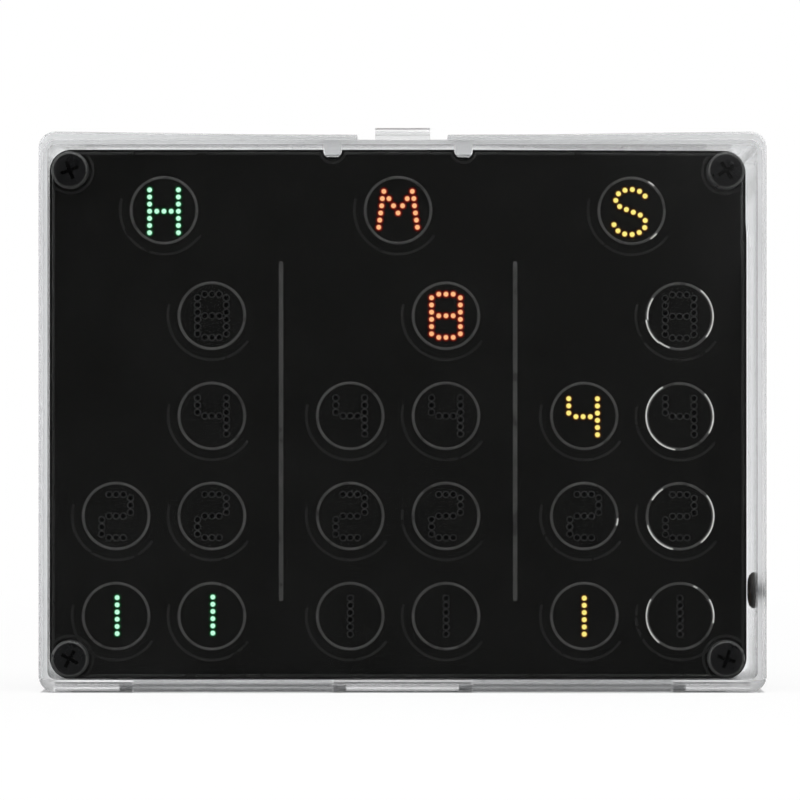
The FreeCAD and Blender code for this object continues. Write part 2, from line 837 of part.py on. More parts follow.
def make_buzzer(x, z):
    body = new_body("buzzer")
    can = new_sketch(body, "buzzer_can")
    add_circle(can, 0, 0, buzzer_radius)
    pad(body, can, buzzer_height)
    port = new_sketch(body, "buzzer_port_edge", back=buzzer_height - buzzer_port)
    add_circle(port, 0, 0, buzzer_port)
    pocket(body, port, buzzer_port * 2)
    on_board(body, x, z)
    keep(body, "buzzer")


def make_crystal(x, z):
    """A small metal tube that lies on the board."""
    tube = solid_cylinder("watch_crystal", crystal_radius, crystal_length)
    low = panel_z + z - crystal_length / 2
    place(tube, panel_x + x, board_back + crystal_radius, low)
    keep(tube, "watch_crystal")


def make_transistor(number, x, z):
    """A half-round transistor on three leads."""
    name = "driver_transistor_%d" % number
    body = new_body(name)
    head = new_sketch(body, name + "_head", back=transistor_stand)
    add_circle(head, 0, 0, transistor_radius)
    pad(body, head, transistor_height)
    flat = new_sketch(body, name + "_flat", back=transistor_stand)
    wide = transistor_radius * 2
    add_rectangle(flat, -wide, wide, -wide, -transistor_flat)
    pocket(body, flat, transistor_height)
    spots = [(lead_pitch * i, 0) for i in (-1, 0, 1)]
    add_posts(body, name + "_leads", spots, lead_width, transistor_stand + lead_width)
    on_board(body, x, z)
    keep(body, name)


def make_resistor(number, x, z):
    """A resistor that lies along Z with both leads bent down to the board."""
    name = "series_resistor_%d" % number
    body = new_body(name)
    core = new_sketch(body, name + "_core", "XY_Plane")
    add_circle(core, 0, resistor_radius, resistor_radius)
    pad(body, core, resistor_length, midplane=True)
    leads = new_sketch(body, name + "_leads", "YZ_Plane")
    high = resistor_radius + lead_width / 2
    low = resistor_radius - lead_width / 2
    zero = high * 0
    for side in SIDES:
        root = (resistor_length / 2 - lead_width) * side
        bend = (resistor_span / 2 - lead_width / 2) * side
        end = (resistor_span / 2 + lead_width / 2) * side
        add_polygon(leads, [
            (high, root), (high, end), (zero, end), (zero, bend), (low, bend), (low, root),
        ])
    pad(body, leads, lead_width, midplane=True)
    on_board(body, x, z)
    keep(body, name)


def make_disc_capacitor(number, x, z):
    """A ceramic disc on edge, on two leads."""
    name = "ceramic_capacitor_%d" % number
    body = new_body(name)
    disc = new_sketch(body, name + "_disc", "XY_Plane")
    middle = disc_radius + lead_width
    add_circle(disc, 0, middle, disc_radius)
    pad(body, disc, disc_thickness, midplane=True)
    spots = [(lead_pitch * i, 0) for i in SIDES]
    add_posts(body, name + "_leads", spots, lead_width, middle)
    on_board(body, x, z)
    keep(body, name)


def make_can_capacitor(x, z):
    can = solid_cylinder("supply_capacitor", can_radius, can_height)
    turned = Rotation(Vector(1, 0, 0), -90)
    place(can, panel_x + x, board_back, panel_z + z, turned)
    keep(can, "supply_capacitor")


def make_power_header(x, z):
    """A shrouded two-pin connector for the supply cable."""
    body = new_body("power_header")
    shroud = new_sketch(body, "power_shroud")
    across = shroud_width / 2
    deep = shroud_depth / 2
    add_rectangle(shroud, -across, across, -deep, deep)
    pad(body, shroud, shroud_height)
    well = new_sketch(body, "power_well", back=shroud_wall * 2)
    add_rectangle(well, -across + shroud_wall, across - shroud_wall,
                  -deep + shroud_wall, deep - shroud_wall)
    pocket(body, well, shroud_height)
    spots = [(lead_pitch * i, 0) for i in SIDES]
    add_posts(body, "power_pins", spots, post_width, shroud_height - shroud_wall)
    on_board(body, x, z)
    keep(body, "power_header")


def make_programming_header(x, z):
    """Four bare pins in a plastic strip."""
    body = new_body("programming_header")
    strip = new_sketch(body, "programming_strip")
    add_rectangle(strip, -chip_pitch * 2, chip_pitch * 2, -chip_pitch / 2, chip_pitch / 2)
    pad(body, strip, strip_height)
    pin = new_sketch(body, "programming_pin")
    add_square(pin, -chip_pitch * 1.5, 0, post_width)
    pin_pad = pad(body, pin, post_height)
    row_of(body, pin_pad, pin, "H_Axis", chip_pitch * 3, 4)
    on_board(body, x, z)
    keep(body, "programming_header")


def button_places():
    return [button_x + button_pitch * i for i in (-1, 0, 1)]


def make_button(number, x):
    """A push switch on the board and the long stem that slides in it."""
    base = new_body("button_%d_base" % number)
    box = new_sketch(base, "switch_%d_box" % number)
    add_square(box, 0, 0, switch_side)
    pad(base, box, switch_height)
    bore = new_sketch(base, "switch_%d_bore" % number, back=switch_floor)
    add_circle(bore, 0, 0, stem_radius + stem_play)
    pocket(base, bore, switch_height)
    on_board(base, x, button_z)
    keep(base, "button_%d_base" % number)

    stem = new_body("button_%d_stem" % number)
    foot = switch_floor + button_travel + stem_play
    rod = new_sketch(stem, "stem_%d_rod" % number, back=foot)
    add_circle(rod, 0, 0, stem_radius)
    tip = rear_space + rear_gap + back_wall + stem_reach
    pad(stem, rod, tip - foot)
    on_board(stem, x, button_z)
    keep(stem, "button_%d_stem" % number)


# ---------------------------------------------------------------- the whole clock

make_tray()
make_lid()
make_grommet()

make_plate("front_panel", panel_width / 2, panel_height / 2, panel_thickness, panel_front, True)
make_plate("main_board", board_half, board_rise, board_thickness, board_front, False)
spots = list(enumerate(corner_spots()))
group("panel_screws", [pan_screw("screw_%d" % (i + 1), x, z) for i, (x, z) in spots])
group("front_spacers", [front_spacer("front_spacer_%d" % (i + 1), x, z) for i, (x, z) in spots])
group("rear_spacers", [rear_spacer("rear_spacer_%d" % (i + 1), x, z) for i, (x, z) in spots])
make_lamps()

make_socket("controller_socket", controller_pins, board_half * -0.37, board_rise * 0.3)
make_chip("controller_chip", controller_pins, board_half * -0.37, board_rise * 0.3)
make_socket("clock_socket", clock_chip_pins, board_half * 0.5, board_rise * 0.3)
make_chip("clock_chip", clock_chip_pins, board_half * 0.5, board_rise * 0.3)
make_crystal(board_half * 0.75, board_rise * 0.3)
make_cell_set(board_half * -0.6, board_rise * -0.45)
make_buzzer(board_half * -0.06, board_rise * -0.45)
for i in range(3):
    make_transistor(i + 1, board_half * 0.25 + transistor_pitch * i, board_rise * -0.1)
for i in range(4):
    make_resistor(i + 1, board_half * 0.22 + resistor_pitch * i, board_rise * -0.45)
make_disc_capacitor(1, board_half * 0.16, board_rise * 0.18)
make_disc_capacitor(2, board_half * 0.16, board_rise * 0.42)
make_can_capacitor(board_half * 0.45, board_rise * -0.78)
make_power_header(board_half * 0.8, board_rise * -0.66)
make_programming_header(board_half * -0.6, board_rise * 0.75)
for i, x in enumerate(button_places()):
    make_button(i + 1, x)

doc.recompute()

# ---------------------------------------------------------------- check and write

for thing in doc.Objects:
    for word in ("Invalid", "Error"):
        if word in thing.State:
            raise RuntimeError("%s is %s" % (thing.Label, word))

os.makedirs("parts", exist_ok=True)
for node in NODES:
    shape = node.Shape
    if shape.isNull() or not shape.isValid():
        raise RuntimeError("bad shape: " + node.Label)
    shape.exportStep("parts/%s.step" % node.Label)
    box = shape.BoundBox
    print("%-24s solids %2d  x %7.2f %7.2f  y %7.2f %7.2f  z %7.2f %7.2f  vol %9.2f" % (
        node.Label, len(shape.Solids), box.XMin, box.XMax, box.YMin, box.YMax,
        box.ZMin, box.ZMax, shape.Volume))
print("nodes", len(NODES))
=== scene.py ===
"""Looks for a binary clock: 23 lamps behind a drilled black panel, in a clear hinged box.

Pieces are shaped in millimetres, in the place that the frame gives, and finished in metres.
"""
import math

import bmesh
import bpy
from mathutils import Matrix, Vector


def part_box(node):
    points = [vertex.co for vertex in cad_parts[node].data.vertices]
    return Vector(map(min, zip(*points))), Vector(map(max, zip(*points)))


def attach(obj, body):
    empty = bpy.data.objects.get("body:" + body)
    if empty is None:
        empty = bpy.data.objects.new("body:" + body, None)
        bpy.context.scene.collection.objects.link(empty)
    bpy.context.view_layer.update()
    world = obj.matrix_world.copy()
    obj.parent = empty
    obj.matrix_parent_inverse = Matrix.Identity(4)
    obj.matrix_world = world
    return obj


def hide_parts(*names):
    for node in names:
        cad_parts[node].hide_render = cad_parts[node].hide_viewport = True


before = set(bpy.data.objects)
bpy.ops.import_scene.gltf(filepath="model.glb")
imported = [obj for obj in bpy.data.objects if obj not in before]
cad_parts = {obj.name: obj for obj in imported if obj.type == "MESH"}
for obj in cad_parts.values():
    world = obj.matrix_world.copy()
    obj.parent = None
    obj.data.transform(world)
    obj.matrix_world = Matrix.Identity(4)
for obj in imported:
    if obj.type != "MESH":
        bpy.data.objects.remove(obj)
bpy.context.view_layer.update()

MM = 0.001
MODULE = "case_and_module"
LID = "lid"


# ---------------------------------------------------------------- places read from the frame

BOXES = {node: [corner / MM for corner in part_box(node)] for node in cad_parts}


def place_of(node):
    """The node's lowest corner, highest corner and middle, in millimetres."""
    low, high = BOXES[node]
    return low, high, (low + high) / 2


def box_mm(node):
    """The node's lowest and highest corners, in millimetres."""
    return BOXES[node]


def centre_mm(node):
    return place_of(node)[2]


panel_low, panel_high, PANEL_MIDDLE = place_of("front_panel")
board_low, board_high = box_mm("main_board")
PANEL_FACE = panel_low.y
PANEL_BACK = panel_high.y
BOARD_BACK = board_high.y

# Half the pitch of the pins and leads that stand in the board.
HALF_PITCH = 1.27
CORNERS = [(side_x, side_z) for side_x in (-1, 1) for side_z in (-1, 1)]

# Lamp name: (character drilled in front of it, its colour, whether it is lit)
LAMPS = {}
for unit, colour, tens, lit in (("hour", "green", "21", ("s_label", "_tens_1", "_ones_1")),
                                ("minute", "red", "421", ("s_label", "_ones_8")),
                                ("second", "yellow", "421", ("s_label", "_tens_4", "_tens_1"))):
    places = [("s_label", unit[0].upper())] + [("_tens_" + digit, digit) for digit in tens]
    for place, character in places + [("_ones_" + digit, digit) for digit in "8421"]:
        LAMPS["led_" + unit + place] = (character, colour, place in lit)


# ---------------------------------------------------------------- shaping

def rod(bm, start, end, radius, sides, end_radius=None):
    """A round bar from start to end, with its faces closed."""
    start, end = Vector(start), Vector(end)
    turn = Vector((0, 0, 1)).rotation_difference(end - start).to_matrix().to_4x4()
    bmesh.ops.create_cone(
        bm, cap_ends=True, segments=sides, radius1=radius,
        radius2=radius if end_radius is None else end_radius,
        depth=(end - start).length, matrix=Matrix.Translation((start + end) / 2) @ turn)


def round_off(bm, edges, width, segments, **settings):
    bmesh.ops.bevel(bm, geom=list(edges), offset=width, offset_type="OFFSET", segments=segments,
                    profile=0.5, affect="EDGES", material=-1, **settings)


def block(bm, low, high, round_edge=0.0):
    """A box between two corners, with rounded edges where asked."""
    low, high = Vector(low), Vector(high)
    place = Matrix.Translation((low + high) / 2) @ Matrix.Diagonal((*(high - low), 1))
    verts = bmesh.ops.create_cube(bm, size=1, matrix=place)["verts"]
    if round_edge:
        edges = {edge for vert in verts for edge in vert.link_edges}
        round_off(bm, edges, round_edge, 2, clamp_overlap=True)


def face_outwards(bm, verts):
    faces = {face for vert in verts for face in vert.link_faces}
    bmesh.ops.recalc_face_normals(bm, faces=list(faces))


def new_since(bm, known):
    return [vert for vert in bm.verts if vert not in known]


def verts_in(geom):
    return [item for item in geom if isinstance(item, bmesh.types.BMVert)]


def lathe(bm, profile, place=Matrix.Identity(4), steps=48, closed=False):
    """Turns (radius, height) points about the local Z axis; place carries them to the part."""
    known = set(bm.verts)
    points = [bm.verts.new((radius, 0, height)) for radius, height in profile]
    edges = [bm.edges.new(pair) for pair in zip(points, points[1:])]
    if closed:
        edges.append(bm.edges.new((points[-1], points[0])))
    bmesh.ops.spin(bm, geom=points + edges, cent=(0, 0, 0), axis=(0, 0, 1), angle=math.tau,
                   steps=steps, use_merge=True, use_duplicate=False)
    bmesh.ops.remove_doubles(bm, verts=new_since(bm, known), dist=0.0005)
    made = new_since(bm, known)
    bmesh.ops.transform(bm, matrix=place, verts=made)
    face_outwards(bm, made)


def turned(profile, place=Matrix.Identity(4), steps=48, closed=False):
    """A new shape that holds one turned profile."""
    bm = bmesh.new()
    lathe(bm, profile, place, steps, closed)
    return bm


def copy_in(bm, pattern, place):
    """Adds a copy of the pattern shape, carried to its place."""
    mesh = bpy.data.meshes.new("pattern")
    pattern.to_mesh(mesh)
    mesh.transform(place)
    bm.from_mesh(mesh)
    bpy.data.meshes.remove(mesh)


def facing_back(x, y, z):
    """A place at x, y, z whose local Z points to the back of the clock."""
    return Matrix.Translation((x, y, z)) @ Matrix.Rotation(-math.pi / 2, 4, "X")


def slab(bm, outline, front, back):
    """A flat plate: (x, z) outline pushed from the front depth to the back depth."""
    face = bm.faces.new([bm.verts.new((x, front, z)) for x, z in outline])
    grown = verts_in(bmesh.ops.extrude_face_region(bm, geom=[face])["geom"])
    bmesh.ops.translate(bm, verts=grown, vec=(0, back - front, 0))
    face_outwards(bm, grown + list(face.verts))


def halves(bm, place, way, **settings):
    """Cuts the shape's faces along a plane."""
    return bmesh.ops.bisect_plane(bm, geom=bm.verts[:] + bm.edges[:] + bm.faces[:],
                                  plane_co=place, plane_no=way, **settings)


def cut_flat(bm, place, way):
    """Cuts away what stands beyond a plane and closes the face."""
    cut = halves(bm, place, way, clear_outer=True)
    rim = [item for item in cut["geom_cut"] if isinstance(item, bmesh.types.BMEdge)]
    bmesh.ops.holes_fill(bm, edges=rim, sides=0)


def finish_piece(bm, name, materials, body=MODULE, replaces=(), smooth_below=35):
    """Turns the shape, in millimetres, into a finished piece that rides its body."""
    bmesh.ops.scale(bm, vec=(MM, MM, MM), verts=bm.verts)
    mesh = bpy.data.meshes.new(name)
    bm.to_mesh(mesh)
    bm.free()
    mesh.polygons.foreach_set("use_smooth", [True] * len(mesh.polygons))
    mesh.set_sharp_from_angle(angle=math.radians(smooth_below))
    for material in materials:
        mesh.materials.append(material)
    piece = bpy.data.objects.new(name, mesh)
    bpy.context.scene.collection.objects.link(piece)
    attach(piece, body)
    if replaces:
        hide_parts(*replaces)
    return piece


def merged_shape(node):
    """A merged copy of a node's mesh, in millimetres, with its flat faces whole again."""
    bm = bmesh.new()
    bm.from_mesh(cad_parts[node].data)
    bmesh.ops.scale(bm, vec=(1 / MM, 1 / MM, 1 / MM), verts=bm.verts)
    bmesh.ops.remove_doubles(bm, verts=bm.verts, dist=0.002)
    bmesh.ops.dissolve_limit(bm, angle_limit=math.radians(0.5), verts=bm.verts, edges=bm.edges,
                             use_dissolve_boundaries=False, delimit=set())
    return bm


def soft_edges(piece, width):
    bevel = piece.modifiers.new("soft_edges", "BEVEL")
    bevel.width = width * MM
    bevel.segments = 2
    bevel.limit_method = "ANGLE"
    bevel.angle_limit = math.radians(40)
    bevel.use_clamp_overlap = True
    return piece


def refined(node, material, round_edge, body=MODULE):
    """The node's own shape with softened edges."""
    return soft_edges(finish_piece(merged_shape(node), node + "_finished", [material], body,
                                   [node]), round_edge)


def finish_metal(bm, name, material, smooth_below=35):
    finish_piece(bm, name, [material], smooth_below=smooth_below)


def as_object(bm, name):
    mesh = bpy.data.meshes.new(name)
    bm.to_mesh(mesh)
    bm.free()
    shape = bpy.data.objects.new(name, mesh)
    bpy.context.scene.collection.objects.link(shape)
    return shape


def cut_away(bm, tool_bm):
    """The first shape with the second cut out of it, both in millimetres."""
    whole = as_object(bm, "whole")
    tool = as_object(tool_bm, "tool")
    cut = whole.modifiers.new("cut", "BOOLEAN")
    cut.operation = "DIFFERENCE"
    cut.solver = "MANIFOLD"
    cut.object = tool
    depsgraph = bpy.context.evaluated_depsgraph_get()
    left = bmesh.new()
    left.from_object(whole, depsgraph)
    for shape in (whole, tool):
        mesh = shape.data
        bpy.data.objects.remove(shape)
        bpy.data.meshes.remove(mesh)
    return left


# ---------------------------------------------------------------- finishes

def linear(red, green, blue):
    """A colour written in screen values from 0 to 255, as the shader wants it."""
    def one(value):
        value /= 255
        return value / 12.92 if value <= 0.04045 else ((value + 0.055) / 1.055) ** 2.4
    return (one(red), one(green), one(blue), 1)


def scaled(colour, factor):
    return tuple(min(1.0, channel * factor) for channel in colour[:3]) + (1,)


def feed(tree, socket, value):
    """Gives a node's input a value of its own, or another node's output."""
    if isinstance(value, bpy.types.NodeSocket):
        tree.links.new(value, socket)
    else:
        socket.default_value = value


def add_node(tree, kind, inputs=None, **settings):
    node = tree.nodes.new("ShaderNode" + kind)
    for key, value in settings.items():
        setattr(node, key, value)
    for key, value in (inputs or {}).items():
        feed(tree, node.inputs[key], value)
    return node


def calc(tree, operation, *values, **settings):
    """A sum on one to three values, each a number or another node's output."""
    return add_node(tree, "Math", dict(enumerate(values)), operation=operation,
                    **settings).outputs["Value"]


def ramp(tree, value, start, end, low=0.0, high=1.0, **settings):
    """Carries a value that runs from start to end over to low to high, and no further."""
    return add_node(tree, "MapRange", {"Value": value, "From Min": start, "From Max": end,
                                       "To Min": low, "To Max": high}, **settings).outputs["Result"]


def blend(tree, share, first, second):
    """A colour between two, by a share from 0 to 1."""
    return add_node(tree, "Mix", {"Factor": share, 6: first, 7: second},
                    data_type="RGBA").outputs[2]


def either(tree, share, first, second):
    """A number between two, by a share from 0 to 1."""
    return add_node(tree, "Mix", {"Factor": share, 2: first, 3: second},
                    data_type="FLOAT").outputs[0]


def noise(tree, place, **inputs):
    return add_node(tree, "TexNoise", {"Vector": place, **inputs}).outputs["Fac"]


def make_group(name, inputs, outputs):
    group = bpy.data.node_groups.new(name, "ShaderNodeTree")
    for label, kind, value in inputs:
        socket = group.interface.new_socket(label, in_out="INPUT", socket_type=kind)
        if value is not None:
            socket.default_value = value
    for label, kind in outputs:
        group.interface.new_socket(label, in_out="OUTPUT", socket_type=kind)
    return group, group.nodes.new("NodeGroupInput"), group.nodes.new("NodeGroupOutput")


def make_surface_wear():
    """Patches, fine grain and hairline scratches that run over any surface."""
    group, given, result = make_group(
        "surface_wear",
        [("Vector", "NodeSocketVector", None), ("Patch Scale", "NodeSocketFloat", 120.0),
         ("Grain Scale", "NodeSocketFloat", 3000.0), ("Scratch Scale", "NodeSocketFloat", 500.0)],
        [("Patch", "NodeSocketFloat"), ("Grain", "NodeSocketFloat"),
         ("Scratch", "NodeSocketFloat"), ("Height", "NodeSocketFloat")])
    place = given.outputs["Vector"]
    patch = noise(group, place, Scale=given.outputs["Patch Scale"], Detail=3.0, Roughness=0.6)
    grain = noise(group, place, Scale=given.outputs["Grain Scale"], Detail=4.0, Roughness=0.7)
    stretch = add_node(group, "Mapping", {"Vector": place, "Rotation": (0.5, 0.4, 0.7),
                                          "Scale": (1.0, 1.0, 0.03)})
    streaks = noise(group, stretch.outputs["Vector"], Scale=given.outputs["Scratch Scale"],
                    Detail=2.0, Distortion=0.3)
    scratch = ramp(group, streaks, 0.66, 0.72)
    height = calc(group, "MULTIPLY_ADD", scratch, -0.6, grain)
    for name, value in (("Patch", patch), ("Grain", grain), ("Scratch", scratch),
                        ("Height", height)):
        feed(group, result.inputs[name], value)
    return group


def make_settled_dust():
    """A thin dust mask, stronger on faces that look up."""
    group, given, result = make_group(
        "settled_dust",
        [("Vector", "NodeSocketVector", None), ("Amount", "NodeSocketFloat", 0.2)],
        [("Dust", "NodeSocketFloat")])
    facing = add_node(group, "NewGeometry")
    parts = add_node(group, "SeparateXYZ", {"Vector": facing.outputs["Normal"]})
    upward = ramp(group, parts.outputs["Z"], 0.2, 1.0)
    patchy = ramp(group, noise(group, given.outputs["Vector"], Scale=900.0, Detail=5.0), 0.4, 0.7)
    both = calc(group, "MULTIPLY", upward, patchy)
    feed(group, result.inputs["Dust"], calc(group, "MULTIPLY", both, given.outputs["Amount"]))
    return group


SURFACE_WEAR = make_surface_wear()
SETTLED_DUST = make_settled_dust()
DUST_COLOUR = linear(150, 146, 138)


def finish(name, colour, roughness, metallic=0.0, colour_spread=0.15, roughness_spread=0.12,
           grain_scale=3000.0, patch_scale=120.0, bump=0.02, dust=0.15, constants=None):
    """A painted, moulded or metal surface with uneven colour, gloss, grain, scratches and dust."""
    material = bpy.data.materials.new(name)
    material.use_nodes = True
    tree = material.node_tree
    place = add_node(tree, "TexCoord").outputs["Object"]
    wear = add_node(tree, "Group", {"Vector": place, "Patch Scale": patch_scale,
                                    "Grain Scale": grain_scale}, node_tree=SURFACE_WEAR).outputs
    settled = add_node(tree, "Group", {"Vector": place, "Amount": dust}, node_tree=SETTLED_DUST)
    shade = blend(tree, wear["Patch"], scaled(colour, 1 - colour_spread),
                  scaled(colour, 1 + colour_spread))
    relief = add_node(tree, "Bump", {"Strength": bump, "Distance": 0.0002,
                                     "Height": wear["Height"]})
    shader = tree.nodes["Principled BSDF"]
    for key, value in {
            "Metallic": metallic, **(constants or {}),
            "Base Color": blend(tree, settled.outputs["Dust"], shade, DUST_COLOUR),
            "Roughness": ramp(tree, wear["Patch"], 0.3, 0.7,
                              max(0.02, roughness - roughness_spread),
                              min(1.0, roughness + roughness_spread)),
            "Normal": relief.outputs["Normal"]}.items():
        feed(tree, shader.inputs[key], value)
    return material


def clear_plastic(name, colour, roughness, roughness_spread, bump):
    """Clear moulded plastic with handling haze and hairline scratches. Lamps shine through it."""
    material = finish(name, colour, roughness, colour_spread=0.01,
                      roughness_spread=roughness_spread, bump=bump, patch_scale=60.0, dust=0.0,
                      constants={"IOR": 1.49, "Transmission Weight": 1.0})
    tree = material.node_tree
    open_to_lamps = add_node(tree, "BsdfTransparent", {"Color": scaled(colour, 0.97)})
    choice = add_node(tree, "MixShader", {
        0: add_node(tree, "LightPath").outputs["Is Shadow Ray"],
        1: tree.nodes["Principled BSDF"].outputs["BSDF"], 2: open_to_lamps.outputs["BSDF"]})
    feed(tree, tree.nodes["Material Output"].inputs["Surface"], choice.outputs["Shader"])
    return material


CASE_CLEAR = clear_plastic("case_clear_styrene", (0.96, 0.965, 0.97, 1), 0.05, 0.02, 0.002)
CASE_WALL = clear_plastic("case_wall_handled", (0.975, 0.98, 0.985, 1), 0.25, 0.03, 0.002)
CASE_ENDS = clear_plastic("case_wall_ends", (0.975, 0.98, 0.985, 1), 0.5, 0.05, 0.002)
# Grey tint on the base edge: painted shade.
CASE_BASE_PAINTED_SHADE = clear_plastic("case_base_painted_shade", (0.56, 0.565, 0.57, 1), 0.24, 0.03, 0.002)

PANEL_BLACK = finish("panel_black_lacquer", linear(14, 14, 13), 0.12, roughness_spread=0.05,
                     grain_scale=1200.0, bump=0.006, dust=0.02)
# Lighter than the lacquer: the copper land below, and partly a painted highlight.
PANEL_LAND_PAINTED_HIGHLIGHT = finish("panel_land_painted_highlight", linear(33, 33, 32), 0.22, roughness_spread=0.05,
                    colour_spread=0.3, patch_scale=400.0, bump=0.01, dust=0.02)
RING_INK = finish("ring_grey_ink", linear(68, 67, 66), 0.34, colour_spread=0.75,
                  grain_scale=5000.0, patch_scale=420.0, bump=0.10, dust=0.02)
HOLE_RIM = finish("hole_rim_laminate", linear(47, 47, 47), 0.5, colour_spread=0.5,
                  patch_scale=1800.0, bump=0.05, dust=0.0)
# Near-black with no shine: painted shade in the screw recess.
RECESS_PAINTED_SHADE = finish("screw_recess_painted_shade", linear(3, 3, 3), 0.6, dust=0.0,
                     constants={"Specular IOR Level": 0.0})
# Lighter rim on the screw heads: painted highlight.
SCREW_RIM_PAINTED_HIGHLIGHT = finish("screw_rim_painted_highlight", linear(78, 78, 77), 0.36, metallic=0.5, colour_spread=0.5,
                    patch_scale=900.0, bump=0.05, dust=0.0)
BLACK_STEEL = finish("screw_black_oxide", linear(29, 29, 30), 0.33, metallic=0.6,
                     colour_spread=0.3, patch_scale=500.0, bump=0.05, dust=0.05)
SPACER_NICKEL = finish("spacer_nickel", linear(172, 172, 168), 0.26, metallic=1.0,
                       patch_scale=300.0, bump=0.04, dust=0.1)
BOARD_BLACK = finish("board_black_mask", linear(20, 21, 22), 0.3, colour_spread=0.2,
                     bump=0.03, dust=0.05)
BOARD_TRACK = finish("board_track_under_mask", linear(34, 36, 37), 0.26, bump=0.03)
BOARD_INK = finish("board_white_ink", linear(222, 222, 214), 0.6, bump=0.05)
SOLDER = finish("solder_bright", linear(196, 198, 200), 0.22, metallic=1.0, patch_scale=800.0,
                bump=0.10)
TINNED = finish("tinned_wire", linear(190, 190, 188), 0.3, metallic=1.0, bump=0.05)
SPRING_METAL = finish("spring_nickel", linear(186, 186, 182), 0.25, metallic=1.0, bump=0.06)
MOULDED_BLACK = finish("moulded_black", linear(26, 26, 27), 0.5, bump=0.12, grain_scale=6000.0)
SOCKET_BLACK = finish("socket_black", linear(18, 18, 19), 0.42, bump=0.08)
HEADER_CREAM = finish("header_cream", linear(226, 220, 202), 0.45, bump=0.06)
BUTTON_BLACK = finish("button_black", linear(22, 22, 22), 0.38, bump=0.06)
GROMMET_RUBBER = finish("grommet_rubber", linear(84, 84, 83), 0.55, bump=0.15, dust=0.2)
CAN_SLEEVE = finish("can_sleeve", linear(24, 40, 72), 0.3, bump=0.03)
CERAMIC_TAN = finish("ceramic_coating", linear(204, 150, 62), 0.35, bump=0.06)
RESISTOR_COAT = finish("resistor_coating", linear(92, 168, 196), 0.4, bump=0.05)
COIN_STEEL = finish("coin_cell_steel", linear(198, 198, 196), 0.2, metallic=1.0,
                    patch_scale=200.0, bump=0.05)
CHIP_BLACK = finish("chip_moulding", linear(30, 30, 31), 0.46, bump=0.10, grain_scale=7000.0)
STEM_BLACK = finish("stem_black", linear(20, 20, 20), 0.28, bump=0.04)
BAND_ORANGE = finish("band_orange", linear(222, 116, 34), 0.35, bump=0.03)
BAND_BROWN = finish("band_brown", linear(92, 52, 30), 0.35, bump=0.03)
BAND_GOLD = finish("band_gold", linear(176, 140, 62), 0.3, metallic=0.7, bump=0.03)
CAN_TOP = finish("can_top_aluminium", linear(198, 199, 201), 0.24, metallic=1.0, bump=0.05)
CAN_STRIPE = finish("can_stripe", linear(176, 186, 204), 0.32, bump=0.03)
CELL_HOLDER_BLACK = finish("cell_holder_black", linear(24, 24, 25), 0.45, bump=0.10)

LENS_CLEAR = {"green": linear(52, 118, 74), "red": linear(140, 42, 34),
              "yellow": linear(156, 112, 32)}
LIGHT_CORE = {"green": linear(206, 255, 228), "red": linear(255, 194, 134),
              "yellow": linear(255, 243, 134)}
LIGHT_EDGE = {"green": linear(104, 206, 152), "red": linear(228, 112, 74),
              "yellow": linear(236, 190, 84)}
LIGHT_HALO = {"green": linear(2, 46, 14), "red": linear(88, 5, 2),
              "yellow": linear(46, 20, 4)}


def glow(name, colour, strength, shine=0.5):
    """A surface that gives light, a little uneven as light through plastic is."""
    material = finish(name, scaled(colour, 0.25), 0.4, colour_spread=0.05, dust=0.0,
                      constants={"Specular IOR Level": shine, "Emission Strength": strength})
    tree = material.node_tree
    wear = add_node(tree, "Group", {
        "Vector": add_node(tree, "TexCoord").outputs["Object"], "Patch Scale": 2500.0},
        node_tree=SURFACE_WEAR)
    feed(tree, tree.nodes["Principled BSDF"].inputs["Emission Color"],
         blend(tree, wear.outputs["Patch"], scaled(colour, 0.72), colour))
    return material


CORE_GLOW = {name: glow("light_core_" + name, colour, 1.0) for name, colour in LIGHT_CORE.items()}
EDGE_GLOW = {name: glow("light_edge_" + name, colour, 0.9) for name, colour in LIGHT_EDGE.items()}
HALO_GLOW = {name: glow("light_halo_" + name, colour, 0.8, 0.0)
             for name, colour in LIGHT_HALO.items()}
LENS_OFF = {name: finish("lens_" + name, colour, 0.2, colour_spread=0.08, dust=0.05)
            for name, colour in LENS_CLEAR.items()}
LENS_LIT = {name: glow("lens_lit_" + name, LENS_CLEAR[name], 0.4) for name in LENS_CLEAR}
# A near-black sheet with no shine: painted shade behind the holes.
SHADE_SHEET = finish("painted_shade_sheet", linear(3, 3, 3), 0.6, bump=0.02, dust=0.0,
                     constants={"Specular IOR Level": 0.0})
# Near-black with no shine: painted shade on the hole walls.
HOLE_WALL_PAINTED_SHADE = finish("hole_wall_painted_shade", linear(4, 4, 4), 0.7, bump=0.05, dust=0.0,
                   constants={"Specular IOR Level": 0.0})
# Bright arcs on the ring lines: painted glints.
PAINTED_GLINT = finish("ring_painted_glint", linear(246, 242, 228), 0.45, colour_spread=0.35,
                   patch_scale=1500.0, bump=0.08, dust=0.0)


# ---------------------------------------------------------------- clear case

def make_case():
    """The box's halves: clear plates, walls hazed by handling, matt ends, a base edge tinted grey
    as painted shade.
    """
    base_top = panel_low.z + 0.05
    lid_inside = box_mm("lid")[0].y + 1.2
    back_inside = box_mm("tray")[1].y - 1.5
    for node, body in (("tray", MODULE), ("lid", LID)):
        piece = refined(node, CASE_CLEAR, 0.07, body)
        for material in (CASE_WALL, CASE_BASE_PAINTED_SHADE, CASE_ENDS):
            piece.data.materials.append(material)
        for face in piece.data.polygons:
            depth = face.center.y / MM
            # The base faces get the grey tint: painted shade.
            if face.center.z < base_top * MM:
                face.material_index = 2
            elif abs(face.normal.y) < 0.5:
                face.material_index = 1
            elif lid_inside < depth < back_inside:
                face.material_index = 3


make_case()


# ---------------------------------------------------------------- dot characters

